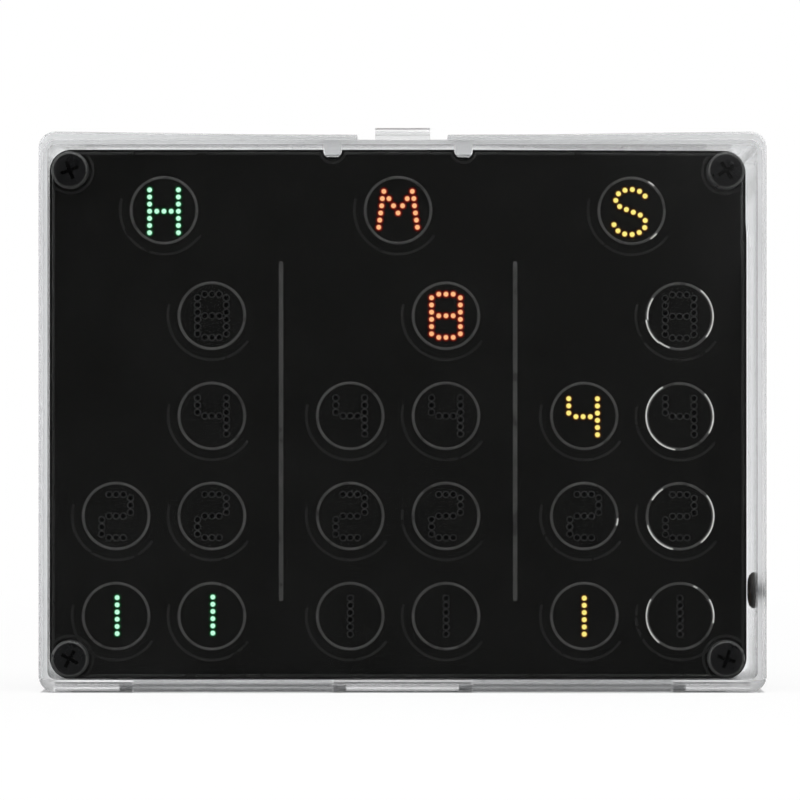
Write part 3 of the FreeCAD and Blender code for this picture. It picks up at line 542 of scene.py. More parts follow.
def run(start, end, count):
    """Evenly spaced points from start to end."""
    start, end = Vector(start), Vector(end)
    return [start.lerp(end, step / (count - 1)) for step in range(count)]


def arc(centre, width, height, start, end, steps=24):
    """Points on an ellipse between two angles in degrees."""
    points = []
    for step in range(steps + 1):
        angle = math.radians(start + (end - start) * step / steps)
        points.append(Vector((centre[0] + width * math.cos(angle),
                              centre[1] + height * math.sin(angle))))
    return points


def evenly(path, count):
    """Points at equal steps along a path."""
    lengths = [0.0]
    for first, second in zip(path, path[1:]):
        lengths.append(lengths[-1] + (second - first).length)
    points = []
    for step in range(count):
        target = lengths[-1] * step / (count - 1)
        index = max(i for i in range(len(path) - 1) if lengths[i] <= target + 1e-9)
        share = (target - lengths[index]) / (lengths[index + 1] - lengths[index])
        points.append(path[index].lerp(path[index + 1], share))
    return points


def mirrored(points):
    return points + [Vector((-point.x, point.y)) for point in points]


def bar_of_three(height):
    return run((-1, height), (1, height), 3)


S_CURVE = arc((-0.1, 1.55), 2.12, 1.43, 21, 255) + arc((-0.25, -1.75), 2.23, 1.55, 48, -173)
CHARACTERS = {
    "1": run((0, 2.5), (0, -2.5), 6),
    "2": (bar_of_three(3) + run((2, 2.5), (2, 0.5), 3) + bar_of_three(0)
          + run((-2, -0.5), (-2, -2.5), 3) + bar_of_three(-3)),
    "4": run((-2, 2.5), (-2, 0.5), 3) + bar_of_three(0) + run((2, 2.5), (2, -2.5), 6),
    "8": (bar_of_three(3) + bar_of_three(0) + bar_of_three(-3)
          + mirrored(run((2, 2.5), (2, -2.5), 6))),
    "H": mirrored(run((2, 2.83), (2, -3.11), 7)) + bar_of_three(-0.14),
    "M": mirrored(run((2.28, 0.62), (2.68, -2.36), 4) + run((1.97, 2.62), (2.19, 1.62), 2)
                  + run((1.27, 1.61), (0.63, 0.62), 2)) + [Vector((0, -0.38))],
    "S": evenly(S_CURVE, 17),
}


# How far a lit character's holes stand from the middle of its lamp, where that is clearly
# 0.1 mm or more. The other characters are drilled about the middle.
DRILL_DRIFT = {"led_hour_tens_1": (0.15, 0.07), "led_hour_ones_1": (0.13, 0.15),
               "led_second_tens_4": (-0.15, -0.10)}


def dots_of(lamp):
    """The panel's holes in front of a lamp, as (x, z) places."""
    middle = centre_mm(lamp)
    across, up = DRILL_DRIFT.get(lamp, (0, 0))
    return [(middle.x + across + dot.x, middle.z + up + dot.y)
            for dot in CHARACTERS[LAMPS[lamp][0]]]


# ---------------------------------------------------------------- front panel

HOLE_RADIUS = 0.36
HOLE_SIDES = 12
GLINT_WIDTH = 0.2
# Painted highlights on the ring lines, bright arcs drawn where glints fall: (start, end) in degrees
# and the arc's radius.
INNER_EDGE, OUTER_EDGE = 4.46, 4.68
GLINT_SPANS = {
    "led_second_ones_8": [(146, 186, INNER_EDGE), (186, 232, OUTER_EDGE), (232, 252, 4.57),
                          (-38, 51, OUTER_EDGE)],
    "led_second_ones_4": [(120, 262, OUTER_EDGE), (-30, 42, OUTER_EDGE)],
    "led_second_ones_2": [(122, 150, INNER_EDGE), (196, 258, OUTER_EDGE), (-52, 38, OUTER_EDGE)],
    "led_second_ones_1": [(150, 232, OUTER_EDGE), (-12, 30, OUTER_EDGE), (58, 66, 4.57)],
    "led_second_tens_2": [(-16, -4, OUTER_EDGE)],
    "led_seconds_label": [(48, 60, OUTER_EDGE), (-56, -42, OUTER_EDGE)],
}
RING_RADIUS = 4.57
RING_WIDTH = 0.37
BEAD_SLOPE = math.radians(26)
LAND_RADIUS = 6.1
LAND_WIDTH = 0.36
LAND_RISE = 0.006
SCREW_LAND_RADIUS = 3.15
NOTCH_RADIUS = 1.3
NOTCH_PLACES = (PANEL_MIDDLE.x - 9.1, PANEL_MIDDLE.x + 9.1)
DIVIDER_OFFSET = 16.25
DIVIDER_TOP = 21.28
DIVIDER_BOTTOM = -25.92
DIVIDER_WIDTH = 0.6
screw_low, screw_high = box_mm("panel_screws")
SCREW_HEAD = 2.585
SCREW_PLACES = [(x, z) for x in (screw_low.x + SCREW_HEAD, screw_high.x - SCREW_HEAD)
                for z in (screw_low.z + SCREW_HEAD, screw_high.z - SCREW_HEAD)]


def bead_profile(radius, width, slope, steps=6, sunk=0.03):
    """The closed section of a low rounded line: its sides meet the panel at the slope."""
    curve = width / 2 / math.sin(slope)
    rise = curve * math.cos(slope)
    points = [(radius - width / 2, -sunk)]
    for step in range(steps + 1):
        angle = slope * (2 * step / steps - 1)
        points.append((radius + curve * math.sin(angle), curve * math.cos(angle) - rise))
    points.append((radius + width / 2, -sunk))
    return points


def facing_front(x, z, depth=PANEL_FACE):
    """A place on the panel's face whose local Z points to the viewer."""
    return Matrix.Translation((x, depth, z)) @ Matrix.Rotation(math.pi / 2, 4, "X")


def over_lamp(lamp):
    middle = centre_mm(lamp)
    return facing_front(middle.x, middle.z)


def in_holes(pattern, wanted):
    """Copies of the pattern in each hole whose lamp gives the wanted colour, "" for off."""
    bm = bmesh.new()
    for lamp, (character, colour, lit) in LAMPS.items():
        if (colour if lit else "") == wanted:
            for x, z in dots_of(lamp):
                copy_in(bm, pattern, facing_front(x, z))
    return bm


def make_panel():
    cutter = bmesh.new()
    for lamp in LAMPS:
        for x, z in dots_of(lamp):
            rod(cutter, (x, PANEL_FACE - 0.5, z), (x, PANEL_BACK + 0.5, z), HOLE_RADIUS,
                HOLE_SIDES)
    plate = cut_away(merged_shape("front_panel"), cutter)
    inner = (PANEL_FACE + PANEL_BACK) / 2
    # Hole walls get a near-black finish with no shine: painted shade inside the holes.
    for face in plate.faces:
        spot = face.calc_center_median()
        if (abs(spot.y - inner) < 0.7 and abs(spot.x - PANEL_MIDDLE.x) < 46
                and abs(spot.z - PANEL_MIDDLE.z) < 34):
            face.material_index = 1
    finish_piece(plate, "panel_plate", [PANEL_BLACK, HOLE_WALL_PAINTED_SHADE], replaces=["front_panel"],
                 smooth_below=30)


def arc_strip(bm, place, radius, start, end, width, height, rise, step=5):
    """A strip along part of a circle, raised along its middle, with its ends closed below."""
    known = set(bm.verts)
    points = [bm.verts.new((radius + across, 0, level)) for across, level in
              ((-width / 2, height), (0, height + rise), (width / 2, height))]
    edges = [bm.edges.new(pair) for pair in zip(points, points[1:])]
    bmesh.ops.spin(bm, geom=points + edges, cent=(0, 0, 0), axis=(0, 0, 1),
                   angle=math.radians(end - start), steps=max(3, int((end - start) / step)),
                   use_duplicate=False)
    faces = {face for vert in new_since(bm, known) for face in vert.link_faces}
    lower = verts_in(bmesh.ops.extrude_face_region(bm, geom=list(faces))["geom"])
    bmesh.ops.translate(bm, verts=lower, vec=(0, 0, -height - 0.02))
    made = new_since(bm, known)
    first = Matrix.Rotation(math.radians(start), 4, "Z")
    bmesh.ops.transform(bm, matrix=place @ first, verts=made)
    face_outwards(bm, made)


def land_line(bm, start, end):
    """A straight stretch of a land's edge on the panel's face: a bar with a narrow front."""
    start, end = Vector((start[0], PANEL_FACE, start[1])), Vector((end[0], PANEL_FACE, end[1]))
    size = (abs(end.x - start.x) + LAND_WIDTH, 0.03, LAND_WIDTH)
    if abs(end.z - start.z) > abs(end.x - start.x):
        size = (LAND_WIDTH, 0.03, abs(end.z - start.z))
    middle = (start + end) / 2 + Vector((0, 0.003, 0))
    place = Matrix.Translation(middle) @ Matrix.Diagonal((*size, 1))
    verts = bmesh.ops.create_cube(bm, size=1, matrix=place)["verts"]
    front = {edge for vert in verts if vert.co.y < middle.y for edge in vert.link_edges
             if all(each.co.y < middle.y for each in edge.verts)}
    round_off(bm, front, 0.011, 1)


def make_panel_relief():
    """Copper lands under the lacquer, edges a little proud; drawn lighter, partly as a painted
    highlight, and only on the lower-left arc round each lamp, where the light catches them.
    """
    bm = bmesh.new()

    def land_arc(x, z, radius, start, end, step=5):
        arc_strip(bm, facing_front(x, z), radius, start, end, LAND_WIDTH, 0.0, LAND_RISE, step)

    for lamp in LAMPS:
        middle = centre_mm(lamp)
        # Only the lower-left arc, where the light falls on the edge: painted highlight.
        land_arc(middle.x, middle.z, LAND_RADIUS, 165, 325)
    inset = 0.52
    corner = 2.5
    left, right = panel_low.x + inset, panel_high.x - inset
    low, high = panel_low.z + inset, panel_high.z - inset
    for x, z in SCREW_PLACES:
        inward = math.degrees(math.atan2(PANEL_MIDDLE.z - z, PANEL_MIDDLE.x - x))
        inward = 45 + 90 * math.floor(inward / 90)
        land_arc(x, z, SCREW_LAND_RADIUS, inward - 96, inward + 96)
    for x, z, start in ((right - corner, high - corner, 0), (left + corner, high - corner, 90),
                        (left + corner, low + corner, 180), (right - corner, low + corner, 270)):
        land_arc(x, z, corner, start, start + 90)
    land_line(bm, (left, low + corner), (left, high - corner))
    land_line(bm, (right, low + corner), (right, high - corner))
    land_line(bm, (left + corner, low), (right - corner, low))
    gap = NOTCH_RADIUS + inset
    edges = [left + corner]
    for x in NOTCH_PLACES:
        edges += [x - gap, x + gap]
        land_arc(x, panel_high.z, gap, 196, 344, 12)
    edges.append(right - corner)
    for start, end in zip(edges[::2], edges[1::2]):
        land_line(bm, (start, high), (end, high))
    bmesh.ops.recalc_face_normals(bm, faces=bm.faces)
    finish_piece(bm, "panel_land_edges", [PANEL_LAND_PAINTED_HIGHLIGHT], smooth_below=60)


def make_rings():
    bm = bmesh.new()
    ring = turned(bead_profile(RING_RADIUS, RING_WIDTH, BEAD_SLOPE), steps=80, closed=True)
    for lamp in LAMPS:
        copy_in(bm, ring, over_lamp(lamp))
    finish_piece(bm, "panel_rings", [RING_INK], smooth_below=60)


def rounded_bar(bm, x, bottom, top, width, rise):
    """A low upright line with round ends and rounded edges."""
    radius = width / 2
    outline = []
    for middle, start in ((top - radius, 0), (bottom + radius, 180)):
        for step in range(9):
            angle = math.radians(start + 180 * step / 8)
            outline.append((x + radius * math.cos(angle), middle + radius * math.sin(angle)))
    slab(bm, outline, PANEL_FACE + 0.03, PANEL_FACE - rise)
    bm.faces.ensure_lookup_table()
    front = [edge for edge in bm.edges
             if all(abs(vert.co.y - (PANEL_FACE - rise)) < 1e-6 for vert in edge.verts)]
    round_off(bm, front, rise * 0.9, 3)


def make_dividers():
    for side, name in ((-1, "left"), (1, "right")):
        bm = bmesh.new()
        rounded_bar(bm, PANEL_MIDDLE.x + side * DIVIDER_OFFSET,
                    PANEL_MIDDLE.z + DIVIDER_BOTTOM, PANEL_MIDDLE.z + DIVIDER_TOP,
                    DIVIDER_WIDTH, 0.08)
        finish_piece(bm, "panel_divider_" + name, [RING_INK],
                     smooth_below=60)


def make_hole_rims():
    """The bare laminate round each drilled hole: dull where the lamp is off, glowing where on."""
    bands = [("dark", "", HOLE_RIM, 0.37, 0.50, 0.006)]
    for colour in LIGHT_CORE:
        bands.append(("lit_" + colour, colour, EDGE_GLOW[colour], 0.30, 0.385, 0.008))
        bands.append(("halo_" + colour, colour, HALO_GLOW[colour], 0.385, 0.60, 0.004))
    for name, colour, material, inner, outer, stand in bands:
        rim = turned([(inner, -0.02), (outer, -0.02), (outer, stand), (inner, stand)],
                     steps=HOLE_SIDES, closed=True)
        finish_piece(in_holes(rim, colour), "hole_rims_" + name, [material])


def make_painted_glints():
    """Thin bright arcs along the ring lines: painted glints, drawn where light catches the lines.
    """
    bm = bmesh.new()
    for lamp, spans in GLINT_SPANS.items():
        for start, end, radius in spans:
            arc_strip(bm, over_lamp(lamp), radius, start, end, GLINT_WIDTH, 0.05, 0.035)
    finish_piece(bm, "ring_painted_glints", [PAINTED_GLINT], smooth_below=60)


def make_lit_dots():
    """The lamp's light as it fills each hole."""
    rim = HOLE_RADIUS - 0.04
    dome = turned([(0, 0.05), (0.16, 0.045), (0.28, 0.03), (rim, 0.012), (rim, -1.2),
                   (0, -1.2)], steps=HOLE_SIDES)
    for colour, material in CORE_GLOW.items():
        finish_piece(in_holes(dome, colour), "lit_dots_" + colour, [material])


def make_shade_sheet():
    """A black sheet against the panel's back, painted shade, so that lamps that are off look black
    through their holes.
    """
    bm = bmesh.new()
    left, right = panel_low.x + 1.0, panel_high.x - 1.0
    low, high = panel_low.z + 1.0, panel_high.z - 1.0
    step = 7.5
    slab(bm, [(left, low + step), (left + step, low + step), (left + step, low),
              (right - step, low), (right - step, low + step), (right, low + step),
              (right, high - step), (right - step, high - step), (right - step, high),
              (left + step, high), (left + step, high - step), (left, high - step)],
         PANEL_BACK + 0.02, PANEL_BACK + 0.17)
    finish_piece(bm, "painted_shade_sheet", [SHADE_SHEET])


make_panel()
make_panel_relief()
make_rings()
make_dividers()
make_hole_rims()
make_painted_glints()
make_lit_dots()
make_shade_sheet()


# ---------------------------------------------------------------- panel screws

def make_screws():
    """Pan-head screws with a tapered cross recess, its faces painted near-black as shade, and a rim
    painted lighter as a highlight.
    """
    head_top = screw_low.y
    rise = PANEL_FACE - head_top
    shank = screw_high.y - PANEL_FACE
    profile = [(0, rise), (1.4, rise * 0.995), (2.22, rise * 0.98), (2.40, rise * 0.94),
               (2.53, rise * 0.85), (SCREW_HEAD, rise * 0.70), (SCREW_HEAD, 0.08),
               (SCREW_HEAD - 0.08, 0.0), (1.45, 0.0), (1.45, -shank), (0, -shank)]
    one = turned(profile, facing_front(0, 0), 40)
    for turn in (0, math.pi / 2):
        cutter = bmesh.new()
        wing = bmesh.ops.create_cube(cutter, size=1, matrix=Matrix.Diagonal((0.64, 4.0, 2.0, 1)))
        for vert in wing["verts"]:
            if vert.co.z < 0:
                vert.co.y *= 0.3
                vert.co.x *= 0.6
        bmesh.ops.rotate(cutter, verts=wing["verts"], matrix=Matrix.Rotation(turn, 3, "Z"))
        bmesh.ops.transform(cutter, matrix=facing_front(0, 0, head_top), verts=cutter.verts)
        one = cut_away(one, cutter)
    for face in one.faces:
        middle = face.calc_center_median()
        reach = math.hypot(middle.x, middle.z)
        # Recess faces: near-black with no shine, painted shade.
        if reach < 1.4 and middle.y > head_top + 0.03:
            face.material_index = 1
        # Rim faces near the front: lighter, a painted highlight.
        elif 2.22 < reach < 2.55 and middle.y < head_top + 0.4:
            face.material_index = 2
    screws = bmesh.new()
    for index, (x, z) in enumerate(SCREW_PLACES):
        copy_in(screws, one, Matrix.Translation((x, 0, z))
                @ Matrix.Rotation(0.5 + 0.7 * index, 4, "Y"))
    one.free()
    finish_piece(screws, "panel_screw_heads", [BLACK_STEEL, RECESS_PAINTED_SHADE, SCREW_RIM_PAINTED_HIGHLIGHT],
                 replaces=["panel_screws"])


make_screws()


# ---------------------------------------------------------------- lamps

def covered(x, z, margin=0.6):
    """True where a part on the back of the board sits over this place."""
    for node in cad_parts:
        low, high = box_mm(node)
        if (abs(low.y - BOARD_BACK) < 0.05 and low.x - margin < x < high.x + margin
                and low.z - margin < z < high.z + margin):
            return True
    return False


def make_lamp(lamp):
    low, high, middle = place_of(lamp)
    character, colour, lit = LAMPS[lamp]
    radius = (high.x - low.x) / 2
    length = high.y - low.y
    bm = turned([(0, 0), (radius - 0.45, 0), (radius - 0.15, 0.08), (radius - 0.02, 0.28),
                 (radius, 0.6), (radius, length - 1.2), (radius + 0.42, length - 1.1),
                 (radius + 0.45, length - 0.15), (radius + 0.35, length), (0, length)],
                facing_back(middle.x, low.y, middle.z), 40)
    cut_flat(bm, (middle.x - radius - 0.02, 0, 0), (-1, 0, 0))
    material = LENS_LIT[colour] if lit else LENS_OFF[colour]
    finish_piece(bm, lamp + "_lens", [material], replaces=[lamp])


def make_lamp_joints():
    """Lamp leads through the board, each with its cone of solder."""
    leads = bmesh.new()
    cones = bmesh.new()
    cone = turned([(0.95, -0.01), (0.9, 0.05), (0.55, 0.25), (0.34, 0.6), (0.26, 0.95),
                   (0, 0.95), (0, -0.01)], steps=14, closed=True)
    for lamp in LAMPS:
        middle = centre_mm(lamp)
        for side in (-HALF_PITCH, HALF_PITCH):
            x = middle.x + side
            if covered(x, middle.z):
                continue
            rod(leads, (x, BOARD_BACK, middle.z), (x, BOARD_BACK + 1.25, middle.z), 0.25, 10)
            copy_in(cones, cone, facing_back(x, BOARD_BACK, middle.z))
    finish_metal(leads, "lamp_leads", TINNED)
    finish_metal(cones, "lamp_solder", SOLDER, 60)


for lamp in LAMPS:
    make_lamp(lamp)
make_lamp_joints()


# ---------------------------------------------------------------- parts on the back of the board

def wire(bm, points, radius, sides=10):
    """A bent round wire through the points."""
    for start, end in zip(points, points[1:]):
        rod(bm, start, end, radius, sides)
    for point in points[1:-1]:
        bmesh.ops.create_icosphere(bm, subdivisions=2, radius=radius,
                                   matrix=Matrix.Translation(point))


def make_pad(bm, x, z, inner=0.26, outer=0.85):
    """A bare copper ring with a skin of solder on the board's back."""
    lathe(bm, [(inner, -0.02), (inner, 0.05), (outer * 0.7, 0.05), (outer, 0.02),
               (outer, -0.02)], facing_back(x, BOARD_BACK, z), 16, closed=True)


def finish_leads(node, leads, pads):
    finish_metal(leads, node + "_leads", TINNED)
    finish_metal(pads, node + "_pads", SOLDER)


PIN_PITCH = 2.54
PIN_ROW = 3.81
CHIPS = {"controller_chip": ("controller_socket", 14), "clock_chip": ("clock_socket", 4)}


def pin_places(node, pins):
    """Where the pins of a two-row part stand, and the turn that faces each one outwards."""
    middle = centre_mm(node)
    for index in range(pins):
        x = middle.x + (index - (pins - 1) / 2) * PIN_PITCH
        for side, turn in ((1, 0.0), (-1, math.pi)):
            yield x, middle.z, side, turn


def make_chip(node, socket, pins):
    """A moulded case, widest at its parting line, with an end notch and a first-pin dimple."""
    low, high, middle = place_of(node)
    seat = low.y + 0.5
    parting = (seat + high.y) / 2
    bm = bmesh.new()
    block(bm, (low.x, seat, middle.z - 3.3), (high.x, high.y, middle.z + 3.3))
    halves(bm, (0, parting, 0), (0, 1, 0))
    ends = [vert for vert in bm.verts if abs(vert.co.y - parting) > 0.1]
    length = high.x - low.x
    bmesh.ops.scale(bm, vec=((length - 0.3) / length, 1, 0.955), verts=ends,
                    space=Matrix.Translation(-middle))
    cutter = bmesh.new()
    rod(cutter, (low.x + 0.12, high.y - 0.3, middle.z), (low.x + 0.12, high.y + 1, middle.z),
        0.85, 24)
    rod(cutter, (low.x + 1.7, high.y - 0.12, middle.z + 2.1),
        (low.x + 1.7, high.y + 1, middle.z + 2.1), 0.5, 20, 0.6)
    bm = cut_away(bm, cutter)
    soft_edges(finish_piece(bm, node + "_case", [CHIP_BLACK], replaces=[node],
                            smooth_below=20), 0.07)

    leg = bmesh.new()
    outer, inner = PIN_ROW + 0.125, PIN_ROW - 0.125
    block(leg, (-0.7, parting, 3.2), (0.7, parting + 0.25, outer), 0.05)
    block(leg, (-0.7, parting - 0.75, inner), (0.7, parting + 0.2, outer), 0.05)
    block(leg, (-0.25, low.y - 0.6, inner), (0.25, parting - 0.7, outer), 0.04)
    legs = bmesh.new()
    sleeve = turned([(0.36, -0.3), (0.36, 0.04), (0.46, 0.1), (0.66, 0.1), (0.74, 0.03),
                     (0.74, -0.3)], steps=16, closed=True)
    sleeves = bmesh.new()
    for x, z, side, turn in pin_places(node, pins):
        copy_in(legs, leg, Matrix.Translation((x, 0, z)) @ Matrix.Rotation(turn, 4, "Y"))
        copy_in(sleeves, sleeve, facing_back(x, low.y, z + side * PIN_ROW))
    finish_metal(legs, node + "_legs", TINNED)
    finish_metal(sleeves, socket + "_sleeves", SOLDER, 50)


def make_crystal():
    """A drawn metal can with a rolled base, on two thin leads that bend to the board."""
    low, high, middle = place_of("watch_crystal")
    length = high.z - low.z
    bm = turned([(0, 0), (0.8, 0), (0.98, 0.08), (0.99, 0.3), (0.9, 0.42), (0.9, length - 0.5),
                 (0.8, length - 0.15), (0.55, length), (0, length)],
            Matrix.Translation((middle.x, middle.y, low.z)), 32)
    finish_piece(bm, "watch_crystal_can", [TINNED], replaces=["watch_crystal"],
                 smooth_below=50)
    leads, pads = bmesh.new(), bmesh.new()
    for side in (-1, 1):
        x = middle.x + 0.35 * side
        wire(leads, [(x, middle.y, low.z + 0.1), (x, middle.y, low.z - 0.7),
                     (x + 0.55 * side, middle.y - 0.2, low.z - 1.5),
                     (x + 0.55 * side, BOARD_BACK - 0.05, low.z - 1.7)], 0.15)
        make_pad(pads, x + 0.55 * side, low.z - 1.7, 0.14, 0.6)
    finish_leads("watch_crystal", leads, pads)


def make_plus(bm, x, z, depth, reach, width, rise):
    """A raised plus sign that faces the back."""
    for across, up in ((reach, width), (width, reach)):
        block(bm, (x - across / 2, depth - 0.05, z - up / 2),
              (x + across / 2, depth + rise, z + up / 2))


def make_coin_cell():
    """A coin cell: rolled rim, a fine groove round its face and a raised plus sign."""
    low, high, middle = place_of("coin_cell")
    thick = high.y - low.y
    bm = turned([(0, thick), (8.3, thick), (8.4, thick - 0.06), (8.6, thick - 0.06),
                 (8.7, thick), (9.35, thick), (9.8, thick - 0.14), (9.98, thick - 0.5),
                 (9.98, 0.55), (9.7, 0.3), (8.9, 0.28), (8.7, 0.0), (0, 0)],
            facing_back(middle.x, low.y, middle.z), 96)
    make_plus(bm, middle.x, middle.z + 5.8, high.y, 2.6, 0.5, 0.04)
    finish_piece(bm, "coin_cell_can", [COIN_STEEL], replaces=["coin_cell"],
                 smooth_below=40)


def make_clip_details():
    """Contact dimples in the spring strap and solder at its feet."""
    low, high, middle = place_of("cell_clip")
    bm = bmesh.new()
    for side in (-1, 1):
        lathe(bm, [(0, 0.28), (0.5, 0.24), (0.9, 0.08), (1.05, 0.0), (1.05, -0.1), (0, -0.1)],
              facing_back(middle.x + 4.5 * side, high.y, middle.z), 24)
    finish_metal(bm, "cell_clip_dimples", SPRING_METAL, 50)
    feet = bmesh.new()
    for x in (low.x + 0.2, high.x - 0.2):
        for side in (-1, 1):
            lathe(feet, [(0, 0.75), (0.3, 0.7), (0.55, 0.4), (0.95, 0.08), (1.05, -0.02),
                         (0, -0.02)], facing_back(x, BOARD_BACK, middle.z + 1.4 * side), 18)
    finish_metal(feet, "cell_clip_solder", SOLDER, 60)


def make_buzzer():
    """A moulded can with a stepped face round its sound port."""
    low, high, middle = place_of("buzzer")
    tall = high.y - low.y
    bm = turned([(0, tall - 1.0), (0.98, tall - 1.0), (0.98, tall - 0.1), (1.1, tall),
                 (2.2, tall), (2.3, tall - 0.12), (4.6, tall - 0.12), (4.7, tall), (5.5, tall),
                 (5.85, tall - 0.12), (5.98, tall - 0.45), (5.98, 0.9), (5.8, 0.8), (5.8, 0.0),
                 (0, 0)], facing_back(middle.x, low.y, middle.z), 72)
    make_plus(bm, middle.x - 3.4, middle.z, high.y - 0.12, 1.3, 0.25, 0.1)
    finish_piece(bm, "buzzer_can", [MOULDED_BLACK], replaces=["buzzer"],
                 smooth_below=40)


# A transistor's round head, from its middle to its top.
HEAD_RADIUS = 2.35
# From a resistor's middle to where its lead goes through the board.
LEAD_REACH = 5.08


def make_transistor(node):
    """A half-round moulded head, flat face down, on three round leads."""
    low, high = box_mm(node)
    x, z = (low.x + high.x) / 2, high.z - HEAD_RADIUS
    foot = 2.0
    tall = high.y - low.y
    bm = turned([(0, foot), (2.2, foot), (2.3, foot + 0.1), (2.34, tall / 2 + 1),
                 (2.28, tall - 0.25), (2.05, tall), (0, tall)], facing_back(x, low.y, z), 40)
    cut_flat(bm, (x, 0, low.z + 0.02), (0, 0, -1))
    soft_edges(finish_piece(bm, node + "_head", [MOULDED_BLACK], replaces=[node],
                            smooth_below=40), 0.08)
    leads, pads = bmesh.new(), bmesh.new()
    for step in (-1, 0, 1):
        lead_x = x + HALF_PITCH * step
        rod(leads, (lead_x, BOARD_BACK - 0.05, z), (lead_x, low.y + 2.1, z), 0.22, 10)
        make_pad(pads, lead_x, z, 0.22, 0.55)
    finish_leads(node, leads, pads)


def make_resistor(node):
    """A dog-bone body with colour bands, on two leads that bend down to the board."""
    low, high, middle = place_of(node)
    half = [(0.26, 3.08), (0.7, 3.05), (1.0, 2.88), (1.13, 2.55), (1.13, 2.5), (1.13, 2.0),
            (1.07, 1.75), (0.97, 1.5), (0.95, 1.3), (0.95, 0.8), (0.95, 0.45)]
    profile = [(0, 3.08)] + half + [(radius, -height) for radius, height in reversed(half)]
    bm = turned(profile + [(0, -3.08)],
            Matrix.Translation((middle.x, low.y + 1.15, middle.z)), 32)
    bands = ((2.0, 2.52, 1), (0.8, 1.3, 1), (-0.45, 0.45, 2), (-2.52, -2.0, 3))
    for face in bm.faces:
        height = face.calc_center_median().z - middle.z
        for start, end, index in bands:
            if start < height < end:
                face.material_index = index
    finish_piece(bm, node + "_body", [RESISTOR_COAT, BAND_ORANGE, BAND_BROWN, BAND_GOLD],
                 replaces=[node], smooth_below=50)
    leads, pads = bmesh.new(), bmesh.new()
    y = low.y + 1.15
    for side in (-1, 1):
        end = middle.z + LEAD_REACH * side
        wire(leads, [(middle.x, y, middle.z + 3.0 * side), (middle.x, y, end - 0.35 * side),
                     (middle.x, y - 0.12, end - 0.1 * side), (middle.x, y - 0.4, end),
                     (middle.x, BOARD_BACK - 0.05, end)], 0.25)
        make_pad(pads, middle.x, end)
    finish_leads(node, leads, pads)


def make_disc_capacitor(node):
    """A dipped ceramic disc on edge; the coating runs a little way down its two leads."""
    low, high, middle = place_of(node)
    centre = Vector((middle.x, high.y - 2.3, middle.z))
    bm = turned([(0, 1.08), (1.1, 1.04), (1.7, 0.86), (2.1, 0.55), (2.28, 0.2), (2.28, -0.2),
                 (2.1, -0.55), (1.7, -0.86), (1.1, -1.04), (0, -1.08)],
            Matrix.Translation(centre), 40)
    leads, pads = bmesh.new(), bmesh.new()
    for side in (-1, 1):
        x = centre.x + HALF_PITCH * side
        rod(bm, (x, low.y + 0.65, centre.z), (x, centre.y - 1.3, centre.z), 0.3, 12, 0.6)
        rod(leads, (x, BOARD_BACK - 0.05, centre.z), (x, low.y + 0.8, centre.z), 0.24, 10)
        make_pad(pads, x, centre.z, 0.24, 0.7)
    finish_piece(bm, node + "_disc", [CERAMIC_TAN], replaces=[node],
                 smooth_below=60)
    finish_leads(node, leads, pads)


def make_can_capacitor():
    """A crimped can in a shrink sleeve with a pale stripe, and a scored bare top."""
    low, high, middle = place_of("supply_capacitor")
    tall = high.y - low.y
    bm = turned([(0, 0), (2.2, 0), (2.42, 0.12), (2.48, 0.4), (2.48, 0.95), (2.28, 1.2),
                 (2.28, 1.35), (2.48, 1.6), (2.48, tall - 0.3), (2.36, tall - 0.06),
                 (2.1, tall - 0.02), (2.05, tall - 0.08), (0, tall - 0.08)],
            facing_back(middle.x, low.y, middle.z), 48)
    score = bmesh.new()
    for turn in (0, math.pi / 2):
        made = bmesh.ops.create_cube(score, size=1, matrix=Matrix.Diagonal((3.0, 0.2, 0.16, 1)))
        bmesh.ops.rotate(score, verts=made["verts"], matrix=Matrix.Rotation(turn + 0.4, 3, "Y"))
    bmesh.ops.translate(score, verts=score.verts, vec=(middle.x, high.y - 0.08, middle.z))
    bm = cut_away(bm, score)
    for face in bm.faces:
        spot = face.calc_center_median() - middle
        reach = math.hypot(spot.x, spot.z)
        if reach < 2.03 and spot.y > 0:
            face.material_index = 1
        elif reach > 2.2 and abs(math.atan2(spot.z, spot.x)) < 0.4:
            face.material_index = 2
    finish_piece(bm, "supply_capacitor_can", [CAN_SLEEVE, CAN_TOP, CAN_STRIPE],
                 replaces=["supply_capacitor"], smooth_below=35)


def make_header(node, plastic, above, pins):
    """A pin header: the plastic's own shape, with the faces of its pins in bright metal."""
    bm = merged_shape(node)
    middle = centre_mm(node)
    for face in bm.faces:
        spot = face.calc_center_median()
        if spot.y > above and abs(spot.z - middle.z) < 0.34 and any(
                abs(spot.x - middle.x - pin) < 0.34 for pin in pins):
            face.material_index = 1
    soft_edges(finish_piece(bm, node + "_finished", [plastic, TINNED], replaces=[node]), 0.06)


